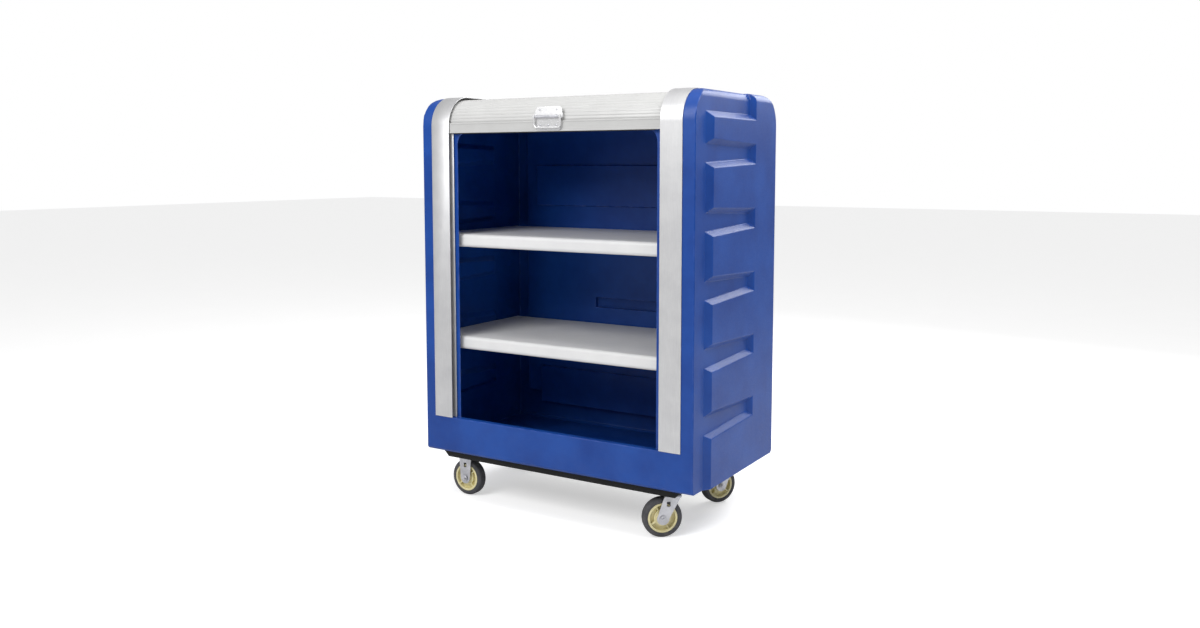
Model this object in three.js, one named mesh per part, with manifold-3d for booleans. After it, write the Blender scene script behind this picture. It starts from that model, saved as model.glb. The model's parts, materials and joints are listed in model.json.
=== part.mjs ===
// Housekeeping cart: a moulded cabinet on four casters, closed by a slatted door that runs in two bent
// aluminium channels, up the front, over the top and down the back. Millimetres, +Z up, front towards -Y.
// The origin is on the floor, under the middle of the whole cart.

import * as THREE from 'three';
import { mergeVertices } from 'three/addons/utils/BufferGeometryUtils.js';
import Module from 'manifold-3d';

const wasm = await Module();
wasm.setup();

// ---- Driving dimensions ----

const overallWidth = 1295; // over the raised side panels
const bodyDepth = 703; // front face to rear face of the housing
const bodyHeight = 1478;
const wall = 6; // moulded wall
const seat = 0.3; // gap kept between pieces that rest on each other

const topRadius = 120; // front and rear top bends
const shoulderRadius = 32; // rounding between the top and the sides
const toeChamfer = 10; // bottom edges of the housing

const sideRelief = 20; // how far the side panels stand out
const reliefStrip = 82; // plain strip behind the front face
const reliefStripDraft = 30; // length of the slope up from that strip
const reliefRearStrip = 207; // plain width behind the closed ends of the side grooves
const reliefTopDrop = 103; // top of the housing down to the highest raised band
const reliefTopBand = 131; // height from the highest groove's centre to the top of that band
const grooveCount = 5;
const grooveFirst = 242; // centre of the lowest groove, above the underside
const grooveFrontHalf = 53;
const grooveRearHalf = 38;

const rearRecess = 40; // the back steps in this far, further than the front and top
const openingSide = 185; // side of the cart to the edge of the opening
const sillHeight = 150; // above the underside
const headBelowBend = 24; // start of the front bend down to the head of the opening
const openingCorner = 48;

const channelFace = 3; // metal thickness of the channels
const channelWidth = 90;
const channelReveal = 24.5; // edge of the opening to the inner edge of the outer flange
const lipReveal = 15.5; // edge of the opening to the inner edge of the rear lip
const flangeLap = 20; // how far the outer flange lies over the housing's face
const channelBackGap = 3; // behind the channel

const slatPitch = 15;
const slatThickness = 5.5;
const slatGroove = 1.6;
const slatBackGap = 1.5; // slats to the channel's rear lip
const doorSideGap = 6; // ends of the door to the channel's web

const barHeight = 40;
const barThickness = 6;
const barFront = 2.5; // bar face below the housing face
const barBackGap = 0.5; // bar to the slats
const sealHeight = 4;
const doorShow = 4; // the open door hangs this far below the head of the opening

const pullWidth = 137;
const pullHeight = 92;
const pullThickness = 2;
const pullHingeHeight = 56; // hinge line above the door's bottom edge
const bailHalf = 60;
const bailDrop = 42;
const bailRod = 4;
const bailBoss = 7;
const pullPin = 3;

const shelfSetback = 45; // housing face to the shelf's nose
const shelfSideGap = 2.5;
const shelfBackGap = 2;
const shelfThickness = 2;
const shelfNose = 14;
const shelfLip = 54;
const shelfRearLip = 25;
const lowerShelfDrop = 2.5; // second groove's centre down to the shelf's top
const upperShelfRise = 48.75; // middle of the band over the third groove up to the shelf's top
const angleSetback = 23; // behind the slope of the front strip
const angleRearGap = 90; // rear edge of the shelf to the rear end of its angles
const angleDrop = 30;
const angleThickness = 3;
const angleReach = 40;

const basePanel = 30; // depth of the black base below the housing
const baseSetback = 32; // behind the front face
const baseInset = 79.5; // side of the cart to the end of the base, which slopes in by its own depth
const baseRail = 12;
const deckThickness = 17.4;

const casterInsetX = 160.5; // from the overall side to the caster centre
const casterInsetY = 106.5; // from the front or rear face to the caster centre
const wheelRadius = 76.2;
const treadWidth = 42;
const hubWidth = 46;
const rimRadius = 57;
const hubBoss = 22;
const sleeveRadius = 10;
const axleRadius = 6;
const bearingClearance = 0.6;
const plateLength = 100;
const plateWidth = 112;
const plateThickness = 5;
const forkMetal = 4;
const forkSideGap = 3;
const forkCrownGap = 8; // wheel to the underside of the crown
const forkEndRadius = 24;
const raceRadius = 37;
const raceHeight = 16.6; // top of the swivel fork to the plate
const kingpinRadius = 8;
const casterTrail = 38;
const frontSwivelRest = 39; // degrees about the vertical, as the cart was left standing
const rearSwivelRest = 57;

// ---- Values that follow ----

const crownBottom = 2 * wheelRadius + forkCrownGap;
const casterHeight = crownBottom + forkMetal + raceHeight + plateThickness;
const frontY = -bodyDepth / 2;
const rearY = bodyDepth / 2;
const bottomZ = casterHeight + deckThickness + 2 * seat;
const topZ = bottomZ + bodyHeight;
const bodyHalf = overallWidth / 2;
const frameHalf = bodyHalf - sideRelief;
const openingHalf = bodyHalf - openingSide;
const sillZ = bottomZ + sillHeight;
const bendZ = topZ - topRadius;
const headZ = bendZ - headBelowBend;
const doorZ = headZ - doorShow;
const hingeZ = doorZ + pullHingeHeight;
const pullFaceY = frontY + barFront - seat - pullThickness;
const hingeY = pullFaceY - bailBoss - 2 * seat;

// Depths below the housing's face: bar, slats, channel, then the housing's own stepped-back face.
const slatOffset = barFront + barThickness + barBackGap;
const slotDepth = slatOffset + slatThickness + slatBackGap;
const trackRecess = slotDepth + channelFace + channelBackGap;

const channelInner = openingHalf + channelReveal;
const channelLip = openingHalf + lipReveal;
const channelOuter = channelInner + channelWidth;
const trackRecessHalf = channelOuter - flangeLap;
const caseHalf = trackRecessHalf - wall / 2; // outer side of the channel's web
const doorHalf = caseHalf - channelFace - doorSideGap;

const reliefRear = bodyDepth - reliefRearStrip; // front face to the closed ends of the side grooves
const reliefTop = bodyHeight - reliefTopDrop; // top of the highest raised band, above the underside
const groovePitch = (reliefTop - reliefTopBand - grooveFirst) / (grooveCount - 1);
const lowerShelf = grooveFirst + groovePitch - lowerShelfDrop; // shelf tops above the underside
const upperShelf = grooveFirst + 2.5 * groovePitch + upperShelfRise;
const shelfHalf = frameHalf - wall - shelfSideGap;
const baseHalf = bodyHalf - baseInset;

// The whole cart reaches from the pull's hinge in front to the rear channels behind.
const frontReach = frontY - hingeY + bailBoss;
const originShift = (frontReach - channelFace - seat) / 2;

// ---- Materials ----

function finish(color, roughness, metalness) {
  return new THREE.MeshStandardMaterial({ color, roughness, metalness });
}

const bluePlastic = finish(0x1b4a93, 0.5, 0);
const channelMetal = finish(0xc8c8ca, 0.35, 0.9);
const slatMetal = finish(0xe8e8e6, 0.45, 0.3);
const pullSteel = finish(0xd8d8d8, 0.25, 1);
const shelfMetal = finish(0xcfcfcf, 0.45, 0.2);
const baseBlack = finish(0x0c0c0e, 0.6, 0);
const zincSteel = finish(0x9a9c9e, 0.4, 0.9);
const hubCream = finish(0xddd39a, 0.5, 0);
const tyreGrey = finish(0x4a4a4d, 0.8, 0);
const sealRubber = finish(0x1a1a1c, 0.85, 0);

// ---- Geometry helpers ----

function solid(geometry) {
  const bare = geometry.clone();
  bare.deleteAttribute('normal');
  bare.deleteAttribute('uv');
  const merged = mergeVertices(bare, 1e-4);
  return new wasm.Manifold(new wasm.Mesh({
    numProp: 3,
    vertProperties: new Float32Array(merged.attributes.position.array),
    triVerts: new Uint32Array(merged.index.array),
  }));
}

function geometryOf(manifold) {
  const mesh = manifold.getMesh();
  const geometry = new THREE.BufferGeometry();
  geometry.setAttribute('position', new THREE.BufferAttribute(new Float32Array(mesh.vertProperties), 3));
  geometry.setIndex(new THREE.BufferAttribute(new Uint32Array(mesh.triVerts), 1));
  return geometry;
}

function mirroredX(geometry) {
  const copy = geometry.clone().scale(-1, 1, 1);
  const index = copy.index.array;
  for (let i = 0; i < index.length; i += 3) {
    [index[i], index[i + 1]] = [index[i + 1], index[i]];
  }
  return copy;
}

function shapeOf(points, holes = []) {
  const shape = new THREE.Shape(points.map(([a, b]) => new THREE.Vector2(a, b)));
  for (const hole of holes) {
    shape.holes.push(new THREE.Path(hole.map(([a, b]) => new THREE.Vector2(a, b))));
  }
  return shape;
}

const axisX = new THREE.Vector3(1, 0, 0);
const axisY = new THREE.Vector3(0, 1, 0);
const axisZ = new THREE.Vector3(0, 0, 1);

function prism(shape, start, end, right, up, along) {
  const geometry = new THREE.ExtrudeGeometry(shape, { depth: end - start, bevelEnabled: false });
  geometry.translate(0, 0, start);
  return geometry.applyMatrix4(new THREE.Matrix4().makeBasis(right, up, along));
}

// Outlines in (y, z) run along X, outlines in (x, z) run along Y, and outlines in (x, y) run along Z.
function alongX(points, x0, x1, holes) {
  return prism(shapeOf(points, holes), x0, x1, axisY, axisZ, axisX);
}

function alongY(points, y0, y1, holes) {
  return prism(shapeOf(points, holes), -y1, -y0, axisX, axisZ, axisY.clone().negate());
}

function alongZ(points, z0, z1, holes) {
  return prism(shapeOf(points, holes), z0, z1, axisX, axisY, axisZ);
}

function box(x0, x1, y0, y1, z0, z1) {
  const geometry = new THREE.BoxGeometry(x1 - x0, y1 - y0, z1 - z0);
  return geometry.translate((x0 + x1) / 2, (y0 + y1) / 2, (z0 + z1) / 2);
}

function arc(cx, cy, rx, ry, fromDegrees, toDegrees, steps) {
  const points = [];
  for (let i = 0; i <= steps; i += 1) {
    const angle = THREE.MathUtils.degToRad(fromDegrees + ((toDegrees - fromDegrees) * i) / steps);
    points.push([cx + rx * Math.cos(angle), cy + ry * Math.sin(angle)]);
  }
  return points;
}

function circle(cx, cy, radius, steps = 16) {
  return arc(cx, cy, radius, radius, 0, 360, steps).slice(0, -1);
}

// Turns an open line into the outline of a sheet that has its thickness on the line's left.
function sheetOutline(line, thickness) {
  const inner = line.map((point, i) => {
    const before = line[Math.max(i - 1, 0)];
    const after = line[Math.min(i + 1, line.length - 1)];
    const first = normalBetween(i === 0 ? point : before, i === 0 ? after : point);
    const second = normalBetween(i === line.length - 1 ? before : point, i === line.length - 1 ? point : after);
    const miter = [first[0] + second[0], first[1] + second[1]];
    const reach = thickness / (1 + first[0] * second[0] + first[1] * second[1]);
    return [point[0] + miter[0] * reach, point[1] + miter[1] * reach];
  });
  return [...line, ...inner.reverse()];
}

function normalBetween(a, b) {
  const length = Math.hypot(b[0] - a[0], b[1] - a[1]);
  return [-(b[1] - a[1]) / length, (b[0] - a[0]) / length];
}

// A closed body between two convex outlines in (y, z), the first at x0 and the second at x1 > x0.
function loftAlongX(outline0, x0, outline1, x1) {
  const count = outline0.length;
  const positions = [];
  outline0.forEach(([y, z]) => positions.push(x0, y, z));
  outline1.forEach(([y, z]) => positions.push(x1, y, z));
  const index = [];
  for (let i = 0; i < count; i += 1) {
    const next = (i + 1) % count;
    index.push(i, next, count + i, next, count + next, count + i);
  }
  for (let i = 1; i < count - 1; i += 1) {
    index.push(0, i + 1, i, count, count + i, count + i + 1);
  }
  const geometry = new THREE.BufferGeometry();
  geometry.setAttribute('position', new THREE.Float32BufferAttribute(positions, 3));
  geometry.setIndex(index);
  return geometry;
}

// ---- Housing ----

const bendSteps = 8;

// Side view of the housing, moved in by inset at the front and top and by rearInset at the back.
function sideOutline(inset, rearInset = inset) {
  const chamfer = toeChamfer;
  return [
    [rearY - rearInset - chamfer, bottomZ + inset],
    [frontY + inset + chamfer, bottomZ + inset],
    [frontY + inset, bottomZ + inset + chamfer],
    ...overTheTop(inset, rearInset),
    [rearY - rearInset, bottomZ + inset + chamfer],
  ];
}

// The two bends and the straight between them, from the front round to the back.
function overTheTop(inset, rearInset = inset) {
  const front = frontY + topRadius;
  const rear = rearY - topRadius;
  const rise = topRadius - inset;
  return [
    ...arc(front, bendZ, rise, rise, 180, 90, bendSteps),
    ...arc(rear, bendZ, topRadius - rearInset, rise, 90, 0, bendSteps),
  ];
}

// The corner that is cut away to round a top edge running front to back, in the front view.
function shoulderCorner(half, top, radius) {
  const over = 6;
  return [
    [half + over, top + over],
    [half - radius, top + over],
    ...arc(half - radius, top - radius, radius, radius, 90, 0, 6),
    [half + over, top - radius],
  ];
}

// Cuts the grooves, the plain front strip and the top shoulder out of the right side of a body that is
// as wide as the raised bands. skin is 0 for the outer face, or the wall for the hollow inside it.
function cutRightSide(body, skin) {
  const floorX = frameHalf - skin;
  const growth = skin * (Math.SQRT2 - 1); // keeps the wall even behind a 45 degree slope
  const over = 4; // the cutters run this far past the face
  const slope = sideRelief + over;
  const top = topZ - skin;
  let result = body;

  // A cutter with sloped sides: its floor spans y and z, and each side leans out by its own slope.
  const cut = (y0, y1, low, high, slopes) => {
    const [frontSlope, rearSlope, lowSlope, highSlope] = slopes;
    const floor = [[y0, low[0]], [y1, low[1]], [y1, high[1]], [y0, high[0]]];
    const mouth = [
      [y0 - frontSlope, low[0] - lowSlope], [y1 + rearSlope, low[1] - lowSlope],
      [y1 + rearSlope, high[1] + highSlope], [y0 - frontSlope, high[0] + highSlope],
    ];
    result = result.subtract(solid(loftAlongX(floor, floorX, mouth, floorX + slope)));
  };

  const past = 40;
  const low = [bottomZ - past, bottomZ - past];
  const high = [topZ + past, topZ + past];
  const startY = frontY - past;
  const stripY = frontY + reliefStrip + growth;
  const stripSlope = (reliefStripDraft * slope) / sideRelief;
  const closedY = frontY + reliefRear - sideRelief + growth;
  cut(startY, stripY, low, high, [0, stripSlope, 0, 0]);

  const shelfZ = bottomZ + reliefTop + sideRelief - growth;
  cut(startY + 1, closedY, [shelfZ, shelfZ], high, [0, slope, slope, 0]);

  const taper = (grooveFrontHalf - grooveRearHalf) / (reliefRear - reliefStrip - reliefStripDraft);
  const rearHalf = grooveRearHalf - sideRelief + growth + taper * sideRelief;
  const frontHalf = rearHalf + taper * (closedY - frontY);
  for (let i = 0; i < grooveCount; i += 1) {
    const centre = bottomZ + grooveFirst + i * groovePitch;
    cut(frontY - 2, closedY, [centre - frontHalf, centre - rearHalf], [centre + frontHalf, centre + rearHalf],
      [0, slope, slope, slope]);
  }

  const frameCorner = shoulderCorner(floorX, top, shoulderRadius - skin);
  const outerCorner = shoulderCorner(bodyHalf - skin, top, shoulderRadius - skin);
  result = result.subtract(solid(alongY(frameCorner, frontY - 3, closedY)));
  return result.subtract(solid(alongY(outerCorner, frontY - 4, rearY + 4)));
}

// Housing volume without the door recess: the outer skin, or the hollow when skin is the wall.
function housingVolume(skin) {
  const half = bodyHalf - skin;
  const whole = solid(alongX(sideOutline(skin), -half, half));
  const oneSide = geometryOf(cutRightSide(whole, skin));
  return cutRightSide(solid(mirroredX(oneSide)), skin);
}

// Everything outside the stepped-back middle of the front, top and back, above the sill.
function recessVolume(skin) {
  const beyond = 5;
  const low = sillZ - skin;
  const outline = [
    [frontY - beyond, low],
    [frontY + trackRecess + skin, low],
    ...overTheTop(trackRecess + skin, rearRecess + skin),
    [rearY - rearRecess - skin, low],
    [rearY + beyond, low],
    [rearY + beyond, topZ + beyond],
    [frontY - beyond, topZ + beyond],
  ];
  const half = trackRecessHalf + skin;
  return solid(alongX(outline, -half, half));
}

// Stiffening panels stand in from the back wall, and a long finger groove is let out into it.
const backInnerY = rearY - rearRecess - wall;
const backPanelStep = 10;
const lowPanel = { side: 164.5, height: 170, above: 95 }; // above the underside
const highPanel = { side: 141.5, height: 182, below: 279 }; // top of the housing down to the panel
const backPanels = [
  { half: bodyHalf - lowPanel.side, z0: bottomZ + lowPanel.above, height: lowPanel.height },
  { half: bodyHalf - highPanel.side, z0: topZ - highPanel.below - highPanel.height, height: highPanel.height },
];
const grooveHalf = 190;
const grooveAboveShelf = 70;
const grooveHeight = 44;
const grooveOut = 20;
const grooveLow = bottomZ + lowerShelf + grooveAboveShelf;
const grooveHigh = grooveLow + grooveHeight;

function buildHousing() {
  let hollow = housingVolume(wall).subtract(recessVolume(wall));
  for (const panel of backPanels) {
    const top = panel.z0 + panel.height;
    const step = box(-panel.half, panel.half, backInnerY - backPanelStep, backInnerY + 1, panel.z0, top);
    hollow = hollow.subtract(solid(step));
  }
  const groove = box(-grooveHalf, grooveHalf, backInnerY - 1, backInnerY + grooveOut, grooveLow, grooveHigh);
  hollow = hollow.add(solid(groove));
  const bulge = box(
    -grooveHalf - wall, grooveHalf + wall,
    backInnerY + wall / 2, backInnerY + grooveOut + wall,
    grooveLow - wall, grooveHigh + wall,
  );
  const opening = [
    [-openingHalf, sillZ],
    [openingHalf, sillZ],
    ...arc(openingHalf - openingCorner, headZ - openingCorner, openingCorner, openingCorner, 0, 90, 6),
    ...arc(-openingHalf + openingCorner, headZ - openingCorner, openingCorner, openingCorner, 90, 180, 6),
  ];
  const doorway = solid(alongY(opening, frontY - 1, frontY + trackRecess + 3 * wall));
  const outside = housingVolume(0).subtract(recessVolume(0)).add(solid(bulge));
  return geometryOf(outside.subtract(hollow).subtract(doorway));
}

// ---- Door channels ----

// A band that follows the housing between two depths, down to the given heights front and back.
function trackBand(depth0, depth1, x0, x1) {
  const outer = [[frontY + depth0, sillZ], ...overTheTop(depth0), [rearY - depth0, sillZ]];
  const inner = [[frontY + depth1, sillZ], ...overTheTop(depth1), [rearY - depth1, sillZ]];
  return solid(alongX([...outer, ...inner.reverse()], x0, x1));
}

function buildRightChannel() {
  const face = trackBand(-channelFace - seat, -seat, channelInner, channelOuter);
  const web = trackBand(-channelFace - seat, slotDepth + channelFace, caseHalf - channelFace, caseHalf);
  const lip = trackBand(slotDepth, slotDepth + channelFace, channelLip, caseHalf);
  return geometryOf(face.add(web).add(lip));
}

// ---- Door ----

const slatInner = slatOffset + slatThickness;
const bendLength = (Math.PI / 2) * (topRadius - slatOffset);
const topLength = bodyDepth - 2 * topRadius;

// A point at a distance along the door's run, measured from the start of the front bend.
function runPoint(distance, depth) {
  const radius = topRadius - depth;
  const frontBendY = frontY + topRadius;
  const rearBendY = rearY - topRadius;
  if (distance < 0) return [frontY + depth, bendZ + distance];
  if (distance < bendLength) {
    const angle = Math.PI - (distance / bendLength) * (Math.PI / 2);
    return [frontBendY + radius * Math.cos(angle), bendZ + radius * Math.sin(angle)];
  }
  const onTop = distance - bendLength;
  if (onTop < topLength) return [frontBendY + onTop, topZ - depth];
  const onRear = onTop - topLength;
  if (onRear < bendLength) {
    const angle = Math.PI / 2 - (onRear / bendLength) * (Math.PI / 2);
    return [rearBendY + radius * Math.cos(angle), bendZ + radius * Math.sin(angle)];
  }
  return [rearY - depth, bendZ - (onRear - bendLength)];
}

function onBend(distance) {
  const onRear = distance - bendLength - topLength;
  return (distance > 0 && distance < bendLength) || (onRear > 0 && onRear < bendLength);
}

// A run of slats as one ribbed sheet.
function slatRun(from, to) {
  const count = Math.max(1, Math.round((to - from) / slatPitch));
  const pitch = (to - from) / count;
  const land = pitch * 0.2;
  const outer = [];
  const inner = [];
  for (let i = 0; i < count; i += 1) {
    const start = from + i * pitch;
    outer.push(runPoint(start, slatOffset + slatGroove));
    outer.push(runPoint(start + land, slatOffset));
    outer.push(runPoint(start + pitch - land, slatOffset));
    if (onBend(start) || i === 0) inner.push(runPoint(start, slatInner));
  }
  outer.push(runPoint(to, slatOffset + slatGroove));
  inner.push(runPoint(to, slatInner));
  return alongX([...outer, ...inner.reverse()], -doorHalf, doorHalf);
}

function buildSlatRuns() {
  const gap = seat / 2;
  const marks = [0, bendLength, bendLength + topLength, 2 * bendLength + topLength];
  const tail = marks[3] + bendZ - sillZ - slatPitch;
  const names = ['door_slats_front_bend', 'door_slats_top', 'door_slats_rear_bend', 'door_slats_rear'];
  return names.map((name, i) => {
    const end = i < 3 ? marks[i + 1] : tail;
    return [name, slatRun(marks[i] + gap, end - gap)];
  });
}

// The straight front run is packed close behind the bottom bar while the door is open.
const foldedDepth = slatOffset + seat;

function buildFoldedSlats() {
  return box(-doorHalf, doorHalf, frontY + foldedDepth, frontY + slatInner, doorZ + seat, bendZ - seat);
}

function buildBottomBar() {
  const y0 = frontY + barFront;
  return box(-doorHalf, doorHalf, y0, y0 + barThickness, doorZ, doorZ + barHeight);
}

function buildBottomSeal() {
  const y0 = frontY + barFront + 1;
  return box(-openingHalf, openingHalf, y0, y0 + barThickness - 2, doorZ - sealHeight, doorZ - seat);
}

// ---- Pull ----

const knuckleHalf = bailHalf - bailRod - 2;
const knuckleRadius = 5.5;
const pinHalf = bailHalf + bailRod + 2;

function rodAlongX(radius, x0, x1, y, z, steps = 12) {
  return alongX(circle(y, z, radius, steps), x0, x1);
}

function buildPullPlate() {
  const half = pullWidth / 2;
  const z0 = doorZ + 3;
  const z1 = z0 + pullHeight;
  const cornerLow = 10;
  const cornerHigh = 22;
  const outline = [
    ...arc(half - cornerLow, z0 + cornerLow, cornerLow, cornerLow, -90, 0, 4),
    ...arc(half - cornerHigh, z1 - cornerHigh, cornerHigh, cornerHigh, 0, 90, 5),
    ...arc(-half + cornerHigh, z1 - cornerHigh, cornerHigh, cornerHigh, 90, 180, 5),
    ...arc(-half + cornerLow, z0 + cornerLow, cornerLow, cornerLow, 180, 270, 4),
  ];
  const plate = solid(alongY(outline, pullFaceY, pullFaceY + pullThickness));
  const knuckle = solid(rodAlongX(knuckleRadius, -knuckleHalf, knuckleHalf, hingeY, hingeZ));
  const webY = pullFaceY + pullThickness / 2;
  const web = solid(box(-knuckleHalf, knuckleHalf, hingeY, webY, hingeZ - 3, hingeZ + knuckleRadius - 0.5));
  const bore = solid(rodAlongX(pullPin + seat, -knuckleHalf - 1, knuckleHalf + 1, hingeY, hingeZ));
  return geometryOf(plate.add(knuckle).add(web).subtract(bore));
}

function buildPullPin() {
  return rodAlongX(pullPin, -pinHalf, pinHalf, hingeY, hingeZ, 12);
}

class BailPath extends THREE.Curve {
  constructor(half, drop, bend) {
    super();
    this.half = half;
    this.drop = drop;
    this.bend = bend;
  }

  getPoint(t) {
    const { half, drop, bend } = this;
    const leg = drop - bend;
    const quarter = (Math.PI / 2) * bend;
    const across = 2 * (half - bend);
    const total = 2 * leg + 2 * quarter + across;
    const mirror = t > 0.5 ? -1 : 1;
    const run = (t > 0.5 ? 1 - t : t) * total;
    let x = -half;
    let z = -run;
    if (run > leg + quarter) {
      x = -half + bend + run - leg - quarter;
      z = -drop;
    } else if (run > leg) {
      const angle = (run - leg) / bend;
      x = -half + bend * (1 - Math.cos(angle));
      z = -leg - bend * Math.sin(angle);
    }
    return new THREE.Vector3(mirror * x, hingeY, hingeZ + z);
  }
}

function buildBail() {
  const path = new BailPath(bailHalf, bailDrop, 14);
  const section = shapeOf(circle(0, 0, bailRod, 6));
  let bail = solid(new THREE.ExtrudeGeometry(section, { steps: 18, bevelEnabled: false, extrudePath: path }));
  for (const side of [-1, 1]) {
    const x = side * bailHalf;
    bail = bail.add(solid(rodAlongX(bailBoss, x - bailRod, x + bailRod, hingeY, hingeZ)));
  }
  for (const side of [-1, 1]) {
    const x = side * bailHalf;
    const hole = rodAlongX(pullPin + 2 * seat, x - bailRod - 1, x + bailRod + 1, hingeY, hingeZ);
    bail = bail.subtract(solid(hole));
  }
  return geometryOf(bail);
}

// ---- Shelves ----

const shelfRearY = backInnerY - backPanelStep - shelfBackGap;
const shelfFrontY = frontY + shelfSetback;

function buildShelf(topAt) {
  const top = bottomZ + topAt;
  const line = [
    [shelfRearY, top - shelfRearLip],
    [shelfRearY, top],
    ...arc(shelfFrontY + shelfNose, top - shelfNose, shelfNose, shelfNose, 90, 180, 5),
    ...arc(shelfFrontY + shelfNose, top - shelfLip + shelfNose, shelfNose, shelfNose, 180, 270, 5),
    [shelfFrontY + 2 * shelfNose, top - shelfLip],
  ];
  let shelf = solid(alongX(sheetOutline(line, shelfThickness), -shelfHalf, shelfHalf));
  const sunk = shelfThickness / 2; // the side flanges start inside the sheet they are bent from
  for (const side of [-1, 1]) {
    const edge = side * (shelfHalf - sunk);
    const inner = edge - side * shelfThickness;
    const flange = box(
      Math.min(edge, inner), Math.max(edge, inner),
      shelfFrontY + 2 * shelfNose, shelfRearY - sunk, top - shelfRearLip + sunk, top - sunk,
    );
    shelf = shelf.add(solid(flange));
  }
  return geometryOf(shelf);
}

// An angle screwed to the side wall carries the end of each shelf.
function buildShelfAngle(topAt, wallX) {
  const ledge = bottomZ + topAt - shelfRearLip - seat;
  const wallFace = wallX - seat;
  const line = [[wallFace, ledge - angleDrop], [wallFace, ledge], [shelfHalf - angleReach, ledge]];
  const startY = frontY + reliefStrip + reliefStripDraft + angleSetback;
  return alongY(sheetOutline(line, angleThickness), startY, shelfRearY - angleRearGap);
}

// ---- Base ----

const baseBottomZ = bottomZ - basePanel;
const baseTopZ = bottomZ - seat;
const baseFrontY = frontY + baseSetback;
const deckBottomZ = casterHeight + seat;

function buildBaseRail() {
  const outline = [
    [-baseHalf, baseTopZ],
    [-baseHalf + basePanel, baseBottomZ],
    [baseHalf - basePanel, baseBottomZ],
    [baseHalf, baseTopZ],
  ];
  return alongY(outline, baseFrontY, baseFrontY + baseRail);
}

function buildBaseDeck() {
  const halfY = -baseFrontY - baseRail - seat;
  const half = baseHalf - baseRail;
  return box(-half, half, -halfY, halfY, deckBottomZ, baseTopZ);
}

const beamX = 250;
const beamWidth = 40;

function buildBaseBeam() {
  const halfY = -baseFrontY - baseRail - seat;
  return box(beamX, beamX + beamWidth, -halfY, halfY, baseBottomZ, deckBottomZ - seat);
}

// ---- Casters ----
// Each caster is made with its centre line on Z and its wheel trailing towards -X.

const forkInner = hubWidth / 2 + forkSideGap;
const forkOuter = forkInner + forkMetal;
const plateBottom = casterHeight - plateThickness;
const sides = 24;

function buildCasterPlate() {
  const halfX = plateLength / 2;
  const halfY = plateWidth / 2;
  const corner = 10;
  const outline = [
    ...arc(halfX - corner, halfY - corner, corner, corner, 0, 90, 3),
    ...arc(-halfX + corner, halfY - corner, corner, corner, 90, 180, 3),
    ...arc(-halfX + corner, -halfY + corner, corner, corner, 180, 270, 3),
    ...arc(halfX - corner, -halfY + corner, corner, corner, 270, 360, 3),
  ];
  const slots = [];
  for (const sx of [-1, 1]) {
    for (const sy of [-1, 1]) {
      slots.push(circle(sx * (halfX - 12), sy * (halfY - 12), 5, 6));
    }
  }
  return alongZ(outline, plateBottom, casterHeight, slots);
}

function buildFork(trail, crownTop, pinHole) {
  const reach = 33;
  const leg = [
    [reach, crownTop],
    [-reach, crownTop],
    [-reach - trail / 4, crownBottom - forkMetal],
    ...arc(-trail, wheelRadius, forkEndRadius, forkEndRadius, 180, 360, 8),
    [reach - 4, crownBottom - forkMetal],
  ];
  const axleHole = circle(-trail, wheelRadius, axleRadius + 2 * seat, 12);
  const windowX = -trail * 0.45;
  const windowZ = crownBottom - 28;
  const window = [
    [windowX - 5, windowZ - 8], [windowX + 5, windowZ - 8], [windowX + 5, windowZ + 8], [windowX - 5, windowZ + 8],
  ];
  let fork = solid(box(-reach, reach, -forkOuter, forkOuter, crownTop - forkMetal, crownTop));
  fork = fork.add(solid(alongY(leg, forkInner, forkOuter, [axleHole, window])));
  fork = fork.add(solid(alongY(leg, -forkOuter, -forkInner, [axleHole, window])));
  if (pinHole > 0) {
    const hole = alongZ(circle(0, 0, pinHole, 20), crownTop - forkMetal - 1, crownTop + 1);
    fork = fork.subtract(solid(hole));
  }
  return geometryOf(fork);
}

function revolveZ(profile, steps) {
  const points = profile.map(([r, z]) => new THREE.Vector2(r, z));
  return new THREE.LatheGeometry(points, steps).rotateX(Math.PI / 2);
}

const ringClosed = (profile) => [...profile, profile[0]];

function buildRaceway(crownTop) {
  const low = crownTop + seat;
  const high = plateBottom - seat;
  const bore = kingpinRadius + bearingClearance;
  return revolveZ(ringClosed([
    [bore, low], [raceRadius - 7, low], [raceRadius, low + 5], [raceRadius, high - 4],
    [raceRadius - 5, high], [bore, high],
  ]), 20);
}

function buildKingpin(crownTop) {
  const underCrown = crownTop - forkMetal - seat;
  const nut = 7;
  return revolveZ([
    [0, underCrown - nut], [kingpinRadius + 4, underCrown - nut], [kingpinRadius + 4, underCrown],
    [kingpinRadius, underCrown], [kingpinRadius, plateBottom - seat], [0, plateBottom - seat],
  ], 20);
}

// Wheel pieces are turned about Y through the axle.
function aboutAxle(profile, steps) {
  const points = profile.map(([r, y]) => new THREE.Vector2(r, y));
  return new THREE.LatheGeometry(points, steps);
}

function buildAxle() {
  const head = 6;
  const headY = forkOuter + seat;
  const tipY = -forkOuter - 12;
  return aboutAxle([
    [0, tipY], [axleRadius, tipY], [axleRadius, headY], [axleRadius + 4, headY], [axleRadius + 4, headY + head],
    [0, headY + head],
  ], 12);
}

function buildAxleNut() {
  const near = -forkOuter - seat;
  const bore = axleRadius + seat;
  return aboutAxle(ringClosed([
    [bore, near - 8], [axleRadius + 4, near - 8], [axleRadius + 4, near], [bore, near],
  ]), 6 * 3);
}

function buildSleeve() {
  const half = forkInner - seat;
  return aboutAxle(ringClosed([
    [axleRadius + seat, -half], [sleeveRadius, -half], [sleeveRadius, half], [axleRadius + seat, half],
  ]), 20);
}

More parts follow.
